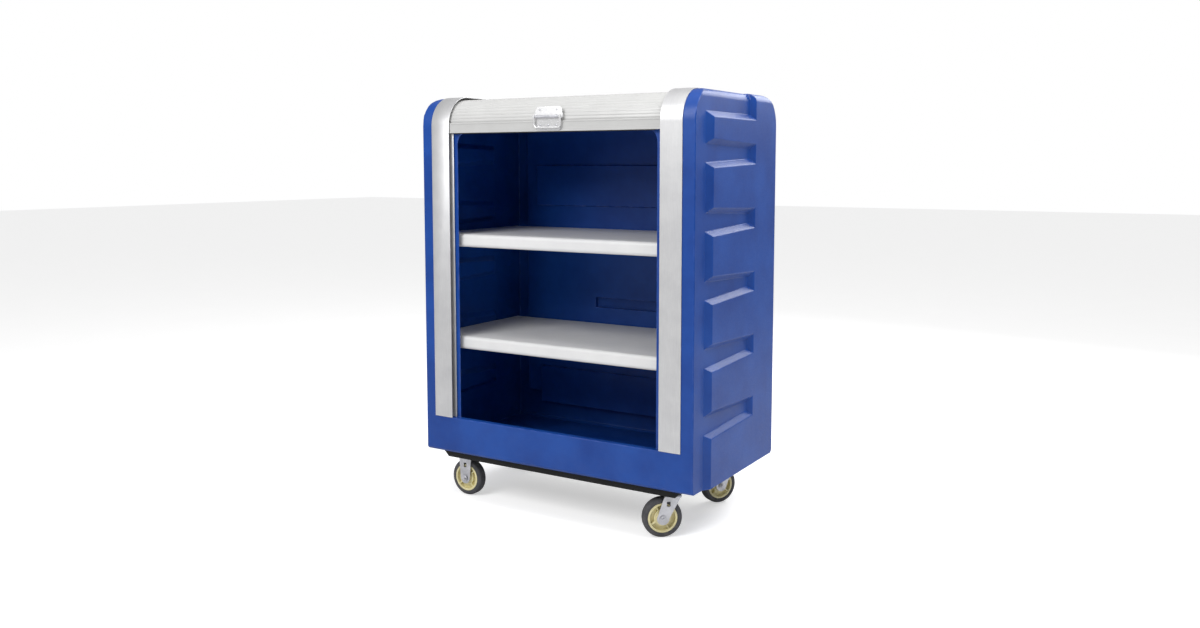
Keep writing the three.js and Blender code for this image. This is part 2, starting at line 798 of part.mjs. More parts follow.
function buildHub() {
  const half = hubWidth / 2;
  const rimHalf = treadWidth / 2;
  const web = 5;
  const rimInner = rimRadius - 8;
  const bore = sleeveRadius + bearingClearance;
  let hub = solid(aboutAxle(ringClosed([
    [bore, -half], [hubBoss, -half], [hubBoss, -web], [rimInner, -web], [rimInner, -rimHalf],
    [rimRadius, -rimHalf], [rimRadius, rimHalf], [rimInner, rimHalf], [rimInner, web], [hubBoss, web],
    [hubBoss, half], [bore, half],
  ]), sides));
  const ribHalf = rimHalf - 3;
  const ribReach = rimInner + 2;
  for (const turn of [0, Math.PI / 2]) {
    const rib = box(-ribReach, ribReach, -ribHalf, ribHalf, -2.5, 2.5).rotateY(turn);
    hub = hub.add(solid(rib));
  }
  const hole = aboutAxle([[0, -half - 1], [bore, -half - 1], [bore, half + 1], [0, half + 1]], sides);
  return geometryOf(hub.subtract(solid(hole)));
}

function buildTyre() {
  const half = treadWidth / 2;
  const inner = rimRadius + seat;
  return aboutAxle(ringClosed([
    [inner, -half], [wheelRadius - 5, -half], [wheelRadius - 1.2, -half + 5], [wheelRadius, -half + 13],
    [wheelRadius, half - 13], [wheelRadius - 1.2, half - 5], [wheelRadius - 5, half], [inner, half],
  ]), sides);
}

function wheelSet(prefix, trail) {
  const group = new THREE.Group();
  group.position.set(-trail, 0, wheelRadius);
  group.add(
    piece(`${prefix}_hub`, buildHub(), hubCream),
    piece(`${prefix}_tyre`, buildTyre(), tyreGrey),
    piece(`${prefix}_axle`, buildAxle(), zincSteel),
    piece(`${prefix}_axle_nut`, buildAxleNut(), zincSteel),
    piece(`${prefix}_sleeve`, buildSleeve(), zincSteel),
  );
  return group;
}

function rigidCaster(prefix, x, y) {
  const group = new THREE.Group();
  const crownTop = plateBottom - seat;
  group.position.set(x, y, 0);
  group.add(
    piece(`${prefix}_plate`, buildCasterPlate(), zincSteel),
    piece(`${prefix}_fork`, buildFork(0, crownTop, 0), zincSteel),
    wheelSet(prefix, 0),
  );
  return group;
}

function swivelCaster(prefix, x, y, restDegrees) {
  const group = new THREE.Group();
  const crownTop = crownBottom + forkMetal;
  group.position.set(x, y, 0);
  const turning = new THREE.Group();
  turning.rotation.z = THREE.MathUtils.degToRad(restDegrees);
  turning.add(
    piece(`${prefix}_fork`, buildFork(casterTrail, crownTop, kingpinRadius + bearingClearance), zincSteel),
    wheelSet(prefix, casterTrail),
  );
  group.add(
    piece(`${prefix}_plate`, buildCasterPlate(), zincSteel),
    piece(`${prefix}_raceway`, buildRaceway(crownTop), zincSteel),
    piece(`${prefix}_kingpin`, buildKingpin(crownTop), zincSteel),
    turning,
  );
  return group;
}

// ---- Assembly ----

function piece(name, geometry, material) {
  const mesh = new THREE.Mesh(geometry, material);
  mesh.name = name;
  return mesh;
}

const cart = new THREE.Group();
cart.position.y = originShift;

const rightChannel = buildRightChannel();
const frontRail = buildBaseRail();
const rearRail = frontRail.clone().rotateZ(Math.PI);
const rightBeam = buildBaseBeam();
const lowerAngle = buildShelfAngle(lowerShelf, frameHalf - wall);
const upperAngle = buildShelfAngle(upperShelf, bodyHalf - wall);

cart.add(
  piece('body_shell', buildHousing(), bluePlastic),
  piece('left_door_channel', mirroredX(rightChannel), channelMetal),
  piece('right_door_channel', rightChannel, channelMetal),
  ...buildSlatRuns().map(([name, geometry]) => piece(name, geometry, slatMetal)),
  piece('door_slats_front', buildFoldedSlats(), slatMetal),
  piece('door_bottom_bar', buildBottomBar(), slatMetal),
  piece('door_bottom_seal', buildBottomSeal(), sealRubber),
  piece('pull_plate', buildPullPlate(), pullSteel),
  piece('pull_pin', buildPullPin(), pullSteel),
  piece('pull_bail', buildBail(), pullSteel),
  piece('lower_shelf', buildShelf(lowerShelf), shelfMetal),
  piece('upper_shelf', buildShelf(upperShelf), shelfMetal),
  piece('lower_shelf_right_angle', lowerAngle, shelfMetal),
  piece('lower_shelf_left_angle', mirroredPrism(lowerAngle), shelfMetal),
  piece('upper_shelf_right_angle', upperAngle, shelfMetal),
  piece('upper_shelf_left_angle', mirroredPrism(upperAngle), shelfMetal),
  piece('base_deck', buildBaseDeck(), baseBlack),
  piece('base_front_rail', frontRail, baseBlack),
  piece('base_rear_rail', rearRail, baseBlack),
  piece('base_right_beam', rightBeam, baseBlack),
  piece('base_left_beam', rightBeam.clone().rotateZ(Math.PI), baseBlack),
);

function mirroredPrism(geometry) {
  return mirroredX(mergeVertices(geometry));
}

const casterX = bodyHalf - casterInsetX;
const casterY = bodyDepth / 2 - casterInsetY;
cart.add(
  rigidCaster('front_left_caster', -casterX, -casterY),
  rigidCaster('rear_left_caster', -casterX, casterY),
  swivelCaster('front_right_caster', casterX, -casterY, frontSwivelRest),
  swivelCaster('rear_right_caster', casterX, casterY, rearSwivelRest),
);

export default cart;
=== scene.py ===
# %% [markdown]
# # A housekeeping cart, finished by hand in Blender
# The cart is a moulded plastic cabinet on four casters. A slatted door runs in two bent aluminium
# channels, up the front, over the top and down the back. The engineering model holds every size and
# every joint, and this lesson builds the surfaces that people see around it: rounded edges, single
# slats, bent sheet metal, moulded hubs, and finishes with grain and wear.
# We begin by loading the frame. Nothing in it is moved: each new piece takes its place from it.

import json
import math

import bmesh
import bpy
from mathutils import Matrix, Vector

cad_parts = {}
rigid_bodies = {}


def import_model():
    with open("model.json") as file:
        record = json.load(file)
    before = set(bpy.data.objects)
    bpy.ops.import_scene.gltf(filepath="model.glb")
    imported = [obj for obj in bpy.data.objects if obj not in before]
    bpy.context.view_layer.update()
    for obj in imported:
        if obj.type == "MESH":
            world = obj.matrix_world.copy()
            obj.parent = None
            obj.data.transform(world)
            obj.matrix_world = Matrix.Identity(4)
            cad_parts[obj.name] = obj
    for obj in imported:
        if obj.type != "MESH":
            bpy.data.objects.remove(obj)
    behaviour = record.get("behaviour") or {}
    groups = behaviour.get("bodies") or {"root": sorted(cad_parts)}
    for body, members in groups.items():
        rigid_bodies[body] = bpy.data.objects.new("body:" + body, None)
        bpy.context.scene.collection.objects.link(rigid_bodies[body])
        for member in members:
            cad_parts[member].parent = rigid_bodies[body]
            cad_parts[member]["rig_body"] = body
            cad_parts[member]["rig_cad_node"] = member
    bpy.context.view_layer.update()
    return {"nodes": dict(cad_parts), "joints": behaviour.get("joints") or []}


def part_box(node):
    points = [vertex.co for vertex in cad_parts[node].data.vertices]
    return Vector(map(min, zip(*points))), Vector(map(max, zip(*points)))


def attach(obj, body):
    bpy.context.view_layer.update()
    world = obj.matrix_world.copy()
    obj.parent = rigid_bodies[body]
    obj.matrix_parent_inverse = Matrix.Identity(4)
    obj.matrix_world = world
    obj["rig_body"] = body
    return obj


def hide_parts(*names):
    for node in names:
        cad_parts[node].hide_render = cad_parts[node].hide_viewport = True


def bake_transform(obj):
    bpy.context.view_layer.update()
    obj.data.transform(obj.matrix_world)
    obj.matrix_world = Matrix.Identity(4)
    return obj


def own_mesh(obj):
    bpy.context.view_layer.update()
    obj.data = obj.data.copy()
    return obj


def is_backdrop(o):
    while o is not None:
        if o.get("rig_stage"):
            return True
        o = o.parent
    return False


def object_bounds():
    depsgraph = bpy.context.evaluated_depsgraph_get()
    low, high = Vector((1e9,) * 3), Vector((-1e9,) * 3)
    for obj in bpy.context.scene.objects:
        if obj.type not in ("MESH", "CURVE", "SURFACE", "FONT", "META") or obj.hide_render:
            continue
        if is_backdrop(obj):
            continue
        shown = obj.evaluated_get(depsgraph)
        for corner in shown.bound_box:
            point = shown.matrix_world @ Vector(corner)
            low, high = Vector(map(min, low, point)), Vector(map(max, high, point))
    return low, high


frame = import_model()
nodes = frame["nodes"]
joints = {joint["name"]: joint for joint in frame["joints"]}
mm = 0.001

# %% [markdown]
# ## The camera
# The cart is seen from its right front corner, from about chest height. The camera looks down a little,
# and a small lens shift does the rest, so that upright edges stay upright.

# %% Camera
camera_data = bpy.data.cameras.new("camera")
camera_data.lens = 31.119
camera_data.shift_y = -0.045
camera = bpy.data.objects.new("camera", camera_data)
camera.location = (2.2547, -3.6587, 1.406)
camera.rotation_euler = (math.radians(90 - 5.246), 0, math.radians(31.391))
bpy.context.scene.collection.objects.link(camera)
bpy.context.scene.camera = camera
print("camera at", tuple(camera.location))

# %% [markdown]
# ## Small helpers for modelling
# Every piece begins as a primitive, is shaped in edit mode and ends with applied modifiers. These
# helpers keep that short. `choose` selects faces, edges or corners by their place, which is what a
# modeller does by eye. Everything is deselected first, because operators act on all that is selected.

# %% Helpers: objects
def take(piece):
    """Makes one object the only selected and the active one."""
    bpy.ops.object.select_all(action="DESELECT")
    piece.select_set(True)
    bpy.context.view_layer.objects.active = piece


def settle(piece, name):
    """Names a piece and moves its place into its mesh."""
    piece.name = name
    piece.data.name = name
    take(piece)
    bpy.ops.object.transform_apply(location=True, rotation=True, scale=True)
    return piece


def block(name, low, high):
    """A box between two corners, to be shaped further."""
    low, high = Vector(low), Vector(high)
    bpy.ops.mesh.primitive_cube_add(size=1, location=(low + high) / 2)
    bpy.context.object.scale = high - low
    return settle(bpy.context.object, name)


turned_from_z = {"X": (0, math.pi / 2, 0), "Y": (-math.pi / 2, 0, 0), "Z": (0, 0, 0)}


def drum(name, radius, depth, centre, axis="Z", sides=64):
    """A cylinder about an axis, to be shaped further."""
    bpy.ops.mesh.primitive_cylinder_add(
        vertices=sides, radius=radius, depth=depth, location=centre, rotation=turned_from_z[axis])
    return settle(bpy.context.object, name)


print("primitives ready")


# %% Helpers: copying, joining and removing
def copy_of(piece, name, place=Matrix.Identity(4)):
    """A copy with its own mesh, put in place in that mesh."""
    twin = piece.copy()
    twin.data = piece.data.copy()
    twin.name = twin.data.name = name
    twin.data.transform(place)
    if place.determinant() < 0:
        twin.data.flip_normals()
    bpy.context.scene.collection.objects.link(twin)
    return twin


def join(name, parts):
    """Several objects become one."""
    take(parts[0])
    for part in parts[1:]:
        part.select_set(True)
    bpy.ops.object.join()
    return settle(bpy.context.object, name)


def remove(piece):
    bpy.data.objects.remove(piece)


print("object helpers ready")

# %% Helpers: choosing parts of a mesh
same_way = 0.98  # cosine above which two directions count as one
double_gap = 0.00002  # corners closer than this are one corner


def choose(piece, kind, test):
    """Enters edit mode with the faces, edges or corners for which test is true selected."""
    take(piece)
    bpy.ops.object.mode_set(mode="EDIT")
    bpy.ops.mesh.select_mode(type=kind)
    bpy.ops.mesh.select_all(action="DESELECT")
    mesh = bmesh.from_edit_mesh(piece.data)
    for part in {"FACE": mesh.faces, "EDGE": mesh.edges, "VERT": mesh.verts}[kind]:
        part.select_set(bool(test(part)))
    mesh.select_flush_mode()
    bmesh.update_edit_mesh(piece.data)


def leave():
    bpy.ops.object.mode_set(mode="OBJECT")


def facing(direction):
    """A test for faces that look along a direction."""
    towards = Vector(direction).normalized()
    return lambda face: face.normal.dot(towards) > same_way


def middle(edge):
    return (edge.verts[0].co + edge.verts[1].co) / 2


def runs(edge, direction):
    """True if an edge runs along a direction."""
    along = edge.verts[1].co - edge.verts[0].co
    return abs(along.normalized().dot(Vector(direction))) > same_way


print("choosing helpers ready")


# %% Helpers: pushing faces and rounding edges
def push(piece, test, move, inset=0.0):
    """Insets the chosen faces by a ring and pushes what is inside it."""
    choose(piece, "FACE", test)
    if inset:
        bpy.ops.mesh.inset(thickness=inset, depth=0)
    bpy.ops.mesh.extrude_region_move(TRANSFORM_OT_translate={"value": Vector(move)})
    leave()


def bevel(piece, test, width, segments):
    """Rounds the chosen edges."""
    choose(piece, "EDGE", test)
    bpy.ops.mesh.bevel(offset=width, segments=segments, affect="EDGES", clamp_overlap=False)
    leave()


print("shaping helpers ready")


# %% Helpers: modifiers and shading
def apply_modifier(piece, kind, **settings):
    take(piece)
    modifier = piece.modifiers.new(kind.lower(), kind)
    for name, value in settings.items():
        setattr(modifier, name, value)
    bpy.ops.object.modifier_apply(modifier=modifier.name)


def soften(piece, width, segments=2, angle=35):
    """Breaks every sharp edge, as no real edge is sharp, and shades flat faces flat."""
    apply_modifier(piece, "BEVEL", width=width, segments=segments, limit_method="ANGLE",
                   angle_limit=math.radians(angle), use_clamp_overlap=True, harden_normals=False)
    polish(piece)


def polish(piece, angle=40):
    take(piece)
    bpy.ops.object.shade_smooth_by_angle(angle=math.radians(angle))
    apply_modifier(piece, "WEIGHTED_NORMAL", keep_sharp=True)


def cut(piece, cutter):
    """Cuts one closed piece out of another."""
    apply_modifier(piece, "BOOLEAN", operation="DIFFERENCE", solver="EXACT", object=cutter)
    remove(cutter)


def outwards(piece):
    """Merges doubles and turns all faces outwards, which spin and mirror can undo."""
    choose(piece, "FACE", lambda face: True)
    bpy.ops.mesh.remove_doubles(threshold=double_gap)
    bpy.ops.mesh.normals_make_consistent(inside=False)
    leave()


print("finishing helpers ready")

# %% [markdown]
# ## Shared surface effects
# Real surfaces share a few effects: grain at two sizes, edges scuffed lighter, dirt that settles low
# and on top, and the fine lines of brushed or drawn metal. On the housing the lighter edges are a
# painted highlight along its rounded edges. Each is a node group with named inputs, made once and
# placed in each material with its own values. A group only puts out masks and heights.

# %% Node helpers
def new_group(name, inputs, outputs):
    group = bpy.data.node_groups.new(name, "ShaderNodeTree")
    for socket, default in inputs.items():
        kind = "NodeSocketVector" if isinstance(default, tuple) else "NodeSocketFloat"
        item = group.interface.new_socket(socket, in_out="INPUT", socket_type=kind)
        item.default_value = default
    for socket in outputs:
        group.interface.new_socket(socket, in_out="OUTPUT", socket_type="NodeSocketFloat")
    return group, group.nodes.new("NodeGroupInput"), group.nodes.new("NodeGroupOutput")


def node(tree, kind, links=None, **settings):
    """Adds a shader node, sets its properties and values, and links its inputs."""
    made = tree.nodes.new("ShaderNode" + kind)
    for name, value in settings.items():
        if hasattr(made, name):
            setattr(made, name, value)
        else:
            made.inputs[name.replace("_", " ")].default_value = value
    for name, source in (links or {}).items():
        tree.links.new(source, made.inputs[name])
    return made


def arithmetic(tree, operation, a, b):
    """a and b are sockets or numbers."""
    made = tree.nodes.new("ShaderNodeMath")
    made.operation = operation
    for socket, value in zip(made.inputs, (a, b)):
        if isinstance(value, (int, float)):
            socket.default_value = value
        else:
            tree.links.new(value, socket)
    return made.outputs["Value"]


print("node helpers ready")

# %% Grain: a fine and a broad noise in the piece's own coordinates
grain, grain_in, grain_out = new_group(
    "grain", {"Fine scale": 400.0, "Broad scale": 8.0}, ["Fine", "Broad"])
place = node(grain, "TexCoord").outputs["Object"]
for output, detail in (("Fine", 4.0), ("Broad", 6.0)):
    noise = node(grain, "TexNoise", {"Vector": place, "Scale": grain_in.outputs[output + " scale"]},
                 Detail=detail, Roughness=0.6)
    grain.links.new(noise.outputs["Fac"], grain_out.inputs[output])
print("group:", grain.name)

# %% Edges scuffed lighter, and a painted highlight on the housing's edges: where a rounded normal leaves the true one, an edge is near
wear_and_highlight, wear_and_highlight_in, wear_and_highlight_out = new_group(
    "edge_wear_and_highlight", {"Radius": 0.003, "Gain": 6.0, "Patch scale": 30.0}, ["Mask"])
rounded = node(wear_and_highlight, "Bevel", {"Radius": wear_and_highlight_in.outputs["Radius"]}, samples=4)
true_normal = node(wear_and_highlight, "NewGeometry").outputs["Normal"]
dot = node(wear_and_highlight, "VectorMath", {0: rounded.outputs["Normal"], 1: true_normal}, operation="DOT_PRODUCT")
away = arithmetic(wear_and_highlight, "SUBTRACT", 1.0, dot.outputs["Value"])
gained = arithmetic(wear_and_highlight, "MULTIPLY", away, wear_and_highlight_in.outputs["Gain"])
patches = node(wear_and_highlight, "TexNoise", {"Vector": node(wear_and_highlight, "TexCoord").outputs["Object"],
                                  "Scale": wear_and_highlight_in.outputs["Patch scale"]}, Detail=5.0)
patchy = node(wear_and_highlight, "MapRange", {"Value": patches.outputs["Fac"]}, From_Min=0.42, From_Max=0.68)
worn_and_lit = node(wear_and_highlight, "Clamp", {"Value": arithmetic(wear_and_highlight, "MULTIPLY", gained, patchy.outputs["Result"])})
wear_and_highlight.links.new(worn_and_lit.outputs["Result"], wear_and_highlight_out.inputs["Mask"])
print("group:", wear_and_highlight.name)

# %% Grime: splashes low down and dust on what looks up
grime, grime_in, grime_out = new_group(
    "grime", {"Low height": 0.45, "Splash": 0.5, "Dust": 0.3}, ["Mask"])
spot = node(grime, "TexCoord").outputs["Object"]
height = node(grime, "SeparateXYZ", {"Vector": spot}).outputs["Z"]
low = node(grime, "MapRange", {"Value": height, "From Max": grime_in.outputs["Low height"]},
           From_Min=0.0, To_Min=1.0, To_Max=0.0)
stain = node(grime, "TexNoise", {"Vector": spot}, Scale=14.0, Detail=8.0, Roughness=0.7)
stained = node(grime, "MapRange", {"Value": stain.outputs["Fac"]}, From_Min=0.45, From_Max=0.75)
splashed = arithmetic(grime, "MULTIPLY", low.outputs["Result"], stained.outputs["Result"])
splash = arithmetic(grime, "MULTIPLY", splashed, grime_in.outputs["Splash"])
upward = node(grime, "SeparateXYZ", {"Vector": node(grime, "NewGeometry").outputs["Normal"]}).outputs["Z"]
top = node(grime, "MapRange", {"Value": upward}, From_Min=0.6, From_Max=1.0)
powder = node(grime, "TexNoise", {"Vector": spot}, Scale=45.0, Detail=8.0, Roughness=0.75)
powdered = arithmetic(grime, "MULTIPLY", top.outputs["Result"], powder.outputs["Fac"])
dust = arithmetic(grime, "MULTIPLY", powdered, grime_in.outputs["Dust"])
dirty = node(grime, "Clamp", {"Value": arithmetic(grime, "ADD", splash, dust)})
grime.links.new(dirty.outputs["Result"], grime_out.inputs["Mask"])
print("group:", grime.name)

# %% Streaks: noise drawn out along one axis, as on brushed or drawn metal
streaks, streaks_in, streaks_out = new_group(
    "streaks", {"Stretch": (40.0, 40.0, 0.6), "Scale": 20.0}, ["Line"])
drawn = node(streaks, "VectorMath", {0: node(streaks, "TexCoord").outputs["Object"],
                                     1: streaks_in.outputs["Stretch"]}, operation="MULTIPLY")
lines = node(streaks, "TexNoise", {"Vector": drawn.outputs["Vector"],
                                   "Scale": streaks_in.outputs["Scale"]}, Detail=3.0, Roughness=0.55)
streaks.links.new(lines.outputs["Fac"], streaks_out.inputs["Line"])
print("node groups:", [group.name for group in bpy.data.node_groups])

# %% [markdown]
# ## Finishes
# One function lays down what all finishes share: a colour that drifts between two tones, edges and
# dirt in their own colours (on the housing the edge colour is a painted highlight, and its second tone
# is partly painted sheen), a roughness that varies with the grain, and a bump made of that grain.
# Each finish then gives its own values. Numbers that are the same all over are set on the shader.

# %% Colours, groups and mixing
def linear(red, green, blue):
    """A colour as people write it, 0 to 255, turned into light."""
    def channel(value):
        value /= 255
        return value / 12.92 if value <= 0.04045 else ((value + 0.055) / 1.055) ** 2.4
    return (channel(red), channel(green), channel(blue), 1.0)


def use_group(tree, group, **values):
    made = tree.nodes.new("ShaderNodeGroup")
    made.node_tree = group
    for name, value in values.items():
        made.inputs[name.replace("_", " ")].default_value = value
    return made


def mix(tree, factor, first, second):
    made = tree.nodes.new("ShaderNodeMix")
    made.data_type = "RGBA"
    sockets = (made.inputs["Factor"], made.inputs[6], made.inputs[7])
    for socket, value in zip(sockets, (factor, first, second)):
        if isinstance(value, (tuple, float)):
            socket.default_value = value
        else:
            tree.links.new(value, socket)
    return made.outputs[2]


print("colour helpers ready")


# %% Finish builder
line_tone = 0.72  # a drawn line's colour against the finish's own
line_shade = 0.35  # and how much of it shows
dirt_roughness = 0.3


def finish_of(name, tone, other_tone, rough, metallic=0.0, bump=0.15, fine=400.0, broad=8.0, depth=0.0004,
              edge=None, edge_radius=0.003, edge_gain=5.0, dirt=None, splash=0.3, dusty=0.2, lines=None,
              line_scale=20.0, line_bump=0.0, **constants):
    """A material from two tones, with its grain, drawn lines, edge colour and dirt. The edge colour is
    scuffing on most finishes and a painted highlight on the housing.
    """
    material = bpy.data.materials.new(name)
    material.use_nodes = True
    tree = material.node_tree
    shader = tree.nodes["Principled BSDF"]
    grained = use_group(tree, grain, Fine_scale=fine, Broad_scale=broad)
    drift = node(tree, "MapRange", {"Value": grained.outputs["Broad"]}, From_Min=0.35, From_Max=0.65)
    colour = mix(tree, drift.outputs["Result"], tone, other_tone)
    bumped = arithmetic(tree, "MULTIPLY", grained.outputs["Fine"], bump)
    varied = grained.outputs["Fine"]
    if lines:
        varied = use_group(tree, streaks, Stretch=lines, Scale=line_scale).outputs["Line"]
        bumped = arithmetic(tree, "ADD", bumped, arithmetic(tree, "MULTIPLY", varied, line_bump))
        shade = node(tree, "MapRange", {"Value": varied}, From_Min=0.3, From_Max=0.7, To_Max=line_shade)
        colour = mix(tree, shade.outputs["Result"], colour, (*(line_tone * part for part in tone[:3]), 1.0))
    roughness = node(tree, "MapRange", {"Value": varied}, From_Min=0.3, From_Max=0.7,
                     To_Min=rough[0], To_Max=rough[1]).outputs["Result"]
    # Edge colour: scuffs on most finishes, and a painted highlight along the housing's rounded edges.
    if edge:
        rubbed_and_lit = use_group(tree, wear_and_highlight, Radius=edge_radius, Gain=edge_gain)
        colour = mix(tree, rubbed_and_lit.outputs["Mask"], colour, edge)
    if dirt:
        soiled = use_group(tree, grime, Splash=splash, Dust=dusty).outputs["Mask"]
        colour = mix(tree, soiled, colour, dirt)
        dulled = arithmetic(tree, "MULTIPLY", soiled, dirt_roughness)
        roughness = arithmetic(tree, "ADD", roughness, dulled)
    relief = node(tree, "Bump", {"Height": bumped}, Strength=0.6, Distance=depth)
    tree.links.new(colour, shader.inputs["Base Color"])
    tree.links.new(roughness, shader.inputs["Roughness"])
    tree.links.new(relief.outputs["Normal"], shader.inputs["Normal"])
    shader.inputs["Metallic"].default_value = metallic
    for socket, value in constants.items():
        shader.inputs[socket.replace("_", " ")].default_value = value
    return material


print("finish builder ready")

# %% Finishes of the cabinet, the door and the pull
dirt_tone = linear(120, 112, 100)
finishes = {
    # On the housing the pale lavender edge colour is a painted highlight along the rounded edges, and the
    # lighter second tone is partly real mottling of the moulding and partly painted sheen patches.
    "housing": finish_of(
        "moulded_blue_plastic", linear(0, 54, 132), linear(14, 68, 150), (0.34, 0.5), bump=0.25, fine=260.0,
        broad=5.0, depth=0.0006, edge=linear(128, 142, 212), edge_radius=0.006, edge_gain=3.2,
        dirt=dirt_tone, splash=0.08, dusty=0.02, Specular_IOR_Level=0.36),
    "channel": finish_of(
        "satin_aluminium", linear(208, 208, 209), linear(198, 198, 200), (0.4, 0.54), metallic=0.7,
        bump=0.04, fine=300.0, broad=12.0, depth=0.0002, lines=(60.0, 1.2, 1.2), line_scale=16.0,
        line_bump=0.12, edge=linear(236, 236, 238), dirt=dirt_tone, splash=0.12, dusty=0.05),
    "slats": finish_of(
        "off_white_slats", linear(192, 192, 191), linear(186, 186, 185), (0.32, 0.46), bump=0.05,
        fine=220.0, broad=7.0, depth=0.0002, lines=(0.8, 30.0, 30.0), line_scale=14.0, line_bump=0.05,
        edge=linear(214, 214, 212), edge_radius=0.001, edge_gain=2.0, dirt=dirt_tone, splash=0.08,
        dusty=0.06, Coat_Weight=0.15, Coat_Roughness=0.2),
    "bar": finish_of(
        "painted_bar", linear(190, 190, 189), linear(184, 184, 183), (0.28, 0.42), bump=0.05, fine=240.0,
        depth=0.0002, lines=(0.8, 30.0, 30.0), line_scale=14.0, line_bump=0.04, edge=linear(190, 191, 194),
        edge_radius=0.0015, dirt=dirt_tone, splash=0.1, dusty=0.08, Coat_Weight=0.15, Coat_Roughness=0.2),
    "rubber": finish_of(
        "black_rubber", linear(30, 30, 32), linear(38, 38, 40), (0.6, 0.85), bump=0.4, fine=500.0,
        depth=0.0004, dirt=dirt_tone, splash=0.15, dusty=0.2, Specular_IOR_Level=0.35),
    "pull": finish_of(
        "bright_plated_steel", linear(240, 240, 241), linear(228, 228, 230), (0.16, 0.3), metallic=0.6,
        bump=0.03, fine=350.0, depth=0.00015, lines=(2.0, 30.0, 30.0), line_scale=24.0, line_bump=0.05,
        edge=linear(244, 244, 245), edge_radius=0.001),
}
print("finishes:", sorted(finishes))

# %% Finishes of the shelves, the base and the casters
finishes.update({
    "shelf": finish_of(
        "light_grey_powder_coat", linear(216, 216, 216), linear(209, 209, 210), (0.36, 0.55), bump=0.3,
        fine=650.0, broad=6.0, depth=0.00025, edge=linear(168, 170, 173), edge_radius=0.0015, edge_gain=4.0,
        dirt=dirt_tone, splash=0.05, dusty=0.12, Specular_IOR_Level=0.5),
    "base": finish_of(
        "black_paint", linear(8, 8, 9), linear(16, 16, 18), (0.5, 0.75), bump=0.3, fine=420.0, depth=0.0004,
        edge=linear(60, 60, 62), edge_radius=0.0015, edge_gain=3.0, dirt=dirt_tone, splash=0.08, dusty=0.05,
        Specular_IOR_Level=0.3),
    "zinc": finish_of(
        "zinc_plated_steel", linear(206, 206, 211), linear(184, 185, 190), (0.26, 0.44), metallic=0.8,
        bump=0.12, fine=320.0, broad=35.0, depth=0.0003, edge=linear(214, 214, 216), edge_radius=0.001,
        dirt=dirt_tone, splash=0.35, dusty=0.1),
    "hub": finish_of(
        "cream_plastic", linear(234, 226, 180), linear(222, 211, 156), (0.34, 0.52), bump=0.15, fine=300.0,
        broad=40.0, depth=0.0003, edge=linear(248, 242, 208), edge_radius=0.003, edge_gain=4.0,
        dirt=linear(128, 114, 70), splash=0.5, dusty=0.0),
    "tyre": finish_of(
        "grey_tyre_rubber", linear(74, 74, 78), linear(62, 62, 66), (0.55, 0.8), bump=0.5, fine=380.0,
        broad=30.0, depth=0.0005, edge=linear(104, 104, 106), edge_radius=0.002, edge_gain=2.0,
        dirt=linear(126, 122, 116), splash=0.5, dusty=0.1, Specular_IOR_Level=0.4),
})
print("finishes:", sorted(finishes))


# %% Placing a finished piece
def place_on(piece, body, finish, slot, *replaced):
    """Gives a piece its finish, puts it on its body and hides the plain nodes it stands for."""
    piece.data.materials.clear()
    piece.data.materials.append(finishes[finish])
    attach(piece, body)
    if replaced:
        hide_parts(*replaced)


print("placing ready")

# %% [markdown]
# ## The housing
# The cabinet is moulded in one piece from powder that melts inside a turning mould, so every corner is
# round and no wall is perfectly flat. Its form is already right in the frame, so a copy is merged into
# one skin, its flat faces are joined up, and its edges are rounded. The two upright front corners get a
# wider rounding than the rest. The frame's own object stays as it is, hidden.

# %% A whole skin from a frame node
skin_gap = 0.0002
flat_angle = 0.8


def edge_bend(edge):
    return math.degrees(edge.calc_face_angle(0.0))


def merged_copy(node_name, name):
    """A copy of a frame node as one closed skin with whole flat faces."""
    piece = copy_of(nodes[node_name], name)
    piece.parent = None
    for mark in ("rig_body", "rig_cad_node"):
        if mark in piece:
            del piece[mark]
    choose(piece, "FACE", lambda face: True)
    bpy.ops.mesh.remove_doubles(threshold=skin_gap)
    bpy.ops.mesh.dissolve_limited(angle_limit=math.radians(flat_angle))
    leave()
    return piece


print("skin helper ready")

# %% Housing
housing_low, housing_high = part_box("body_shell")
housing_front = housing_low.y
housing_rear = housing_high.y
panel_relief = 0.020  # how far the side panels stand out from the upright front corners
corner_x = housing_high.x - panel_relief
corner_reach = 0.0012
corner_width = 0.005
edge_width = 0.0028


def front_corner(edge):
    """True for the long sharp edges of the two upright front corners."""
    from_front = abs(middle(edge).y - housing_front)
    from_side = abs(abs(middle(edge).x) - corner_x)
    sharp = edge_bend(edge) > 60 and edge.is_convex and edge.calc_length() > 0.02
    return sharp and max(from_front, from_side) < corner_reach


housing = merged_copy("body_shell", "housing")
bevel(housing, front_corner, corner_width, 4)
apply_modifier(housing, "BEVEL", width=edge_width, segments=3, limit_method="ANGLE",
               angle_limit=math.radians(32), use_clamp_overlap=False)
for corner in housing.data.vertices:
    corner.co.z = min(corner.co.z, housing_high.z)
polish(housing, 50)
place_on(housing, "cart", "housing", "housing", "body_shell")
print("housing:", len(housing.data.polygons), "faces")

# %% [markdown]
# ## The door channels
# Each channel is a strip of aluminium bent round the cabinet. A bent strip is what the spin operator
# makes: the section is drawn as a line, led up the front, spun a quarter turn round the centre of the
# bend, led over the top, spun again and led down the back. A wall thickness then makes it metal.

# %% Drawing a line and leading it along the door's track
bend_radius = 0.120
sill_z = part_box("right_door_channel")[0].z
top_z = housing_high.z
bend_z = top_z - bend_radius
top_run = housing_rear - housing_front - 2 * bend_radius
bend_steps = 20


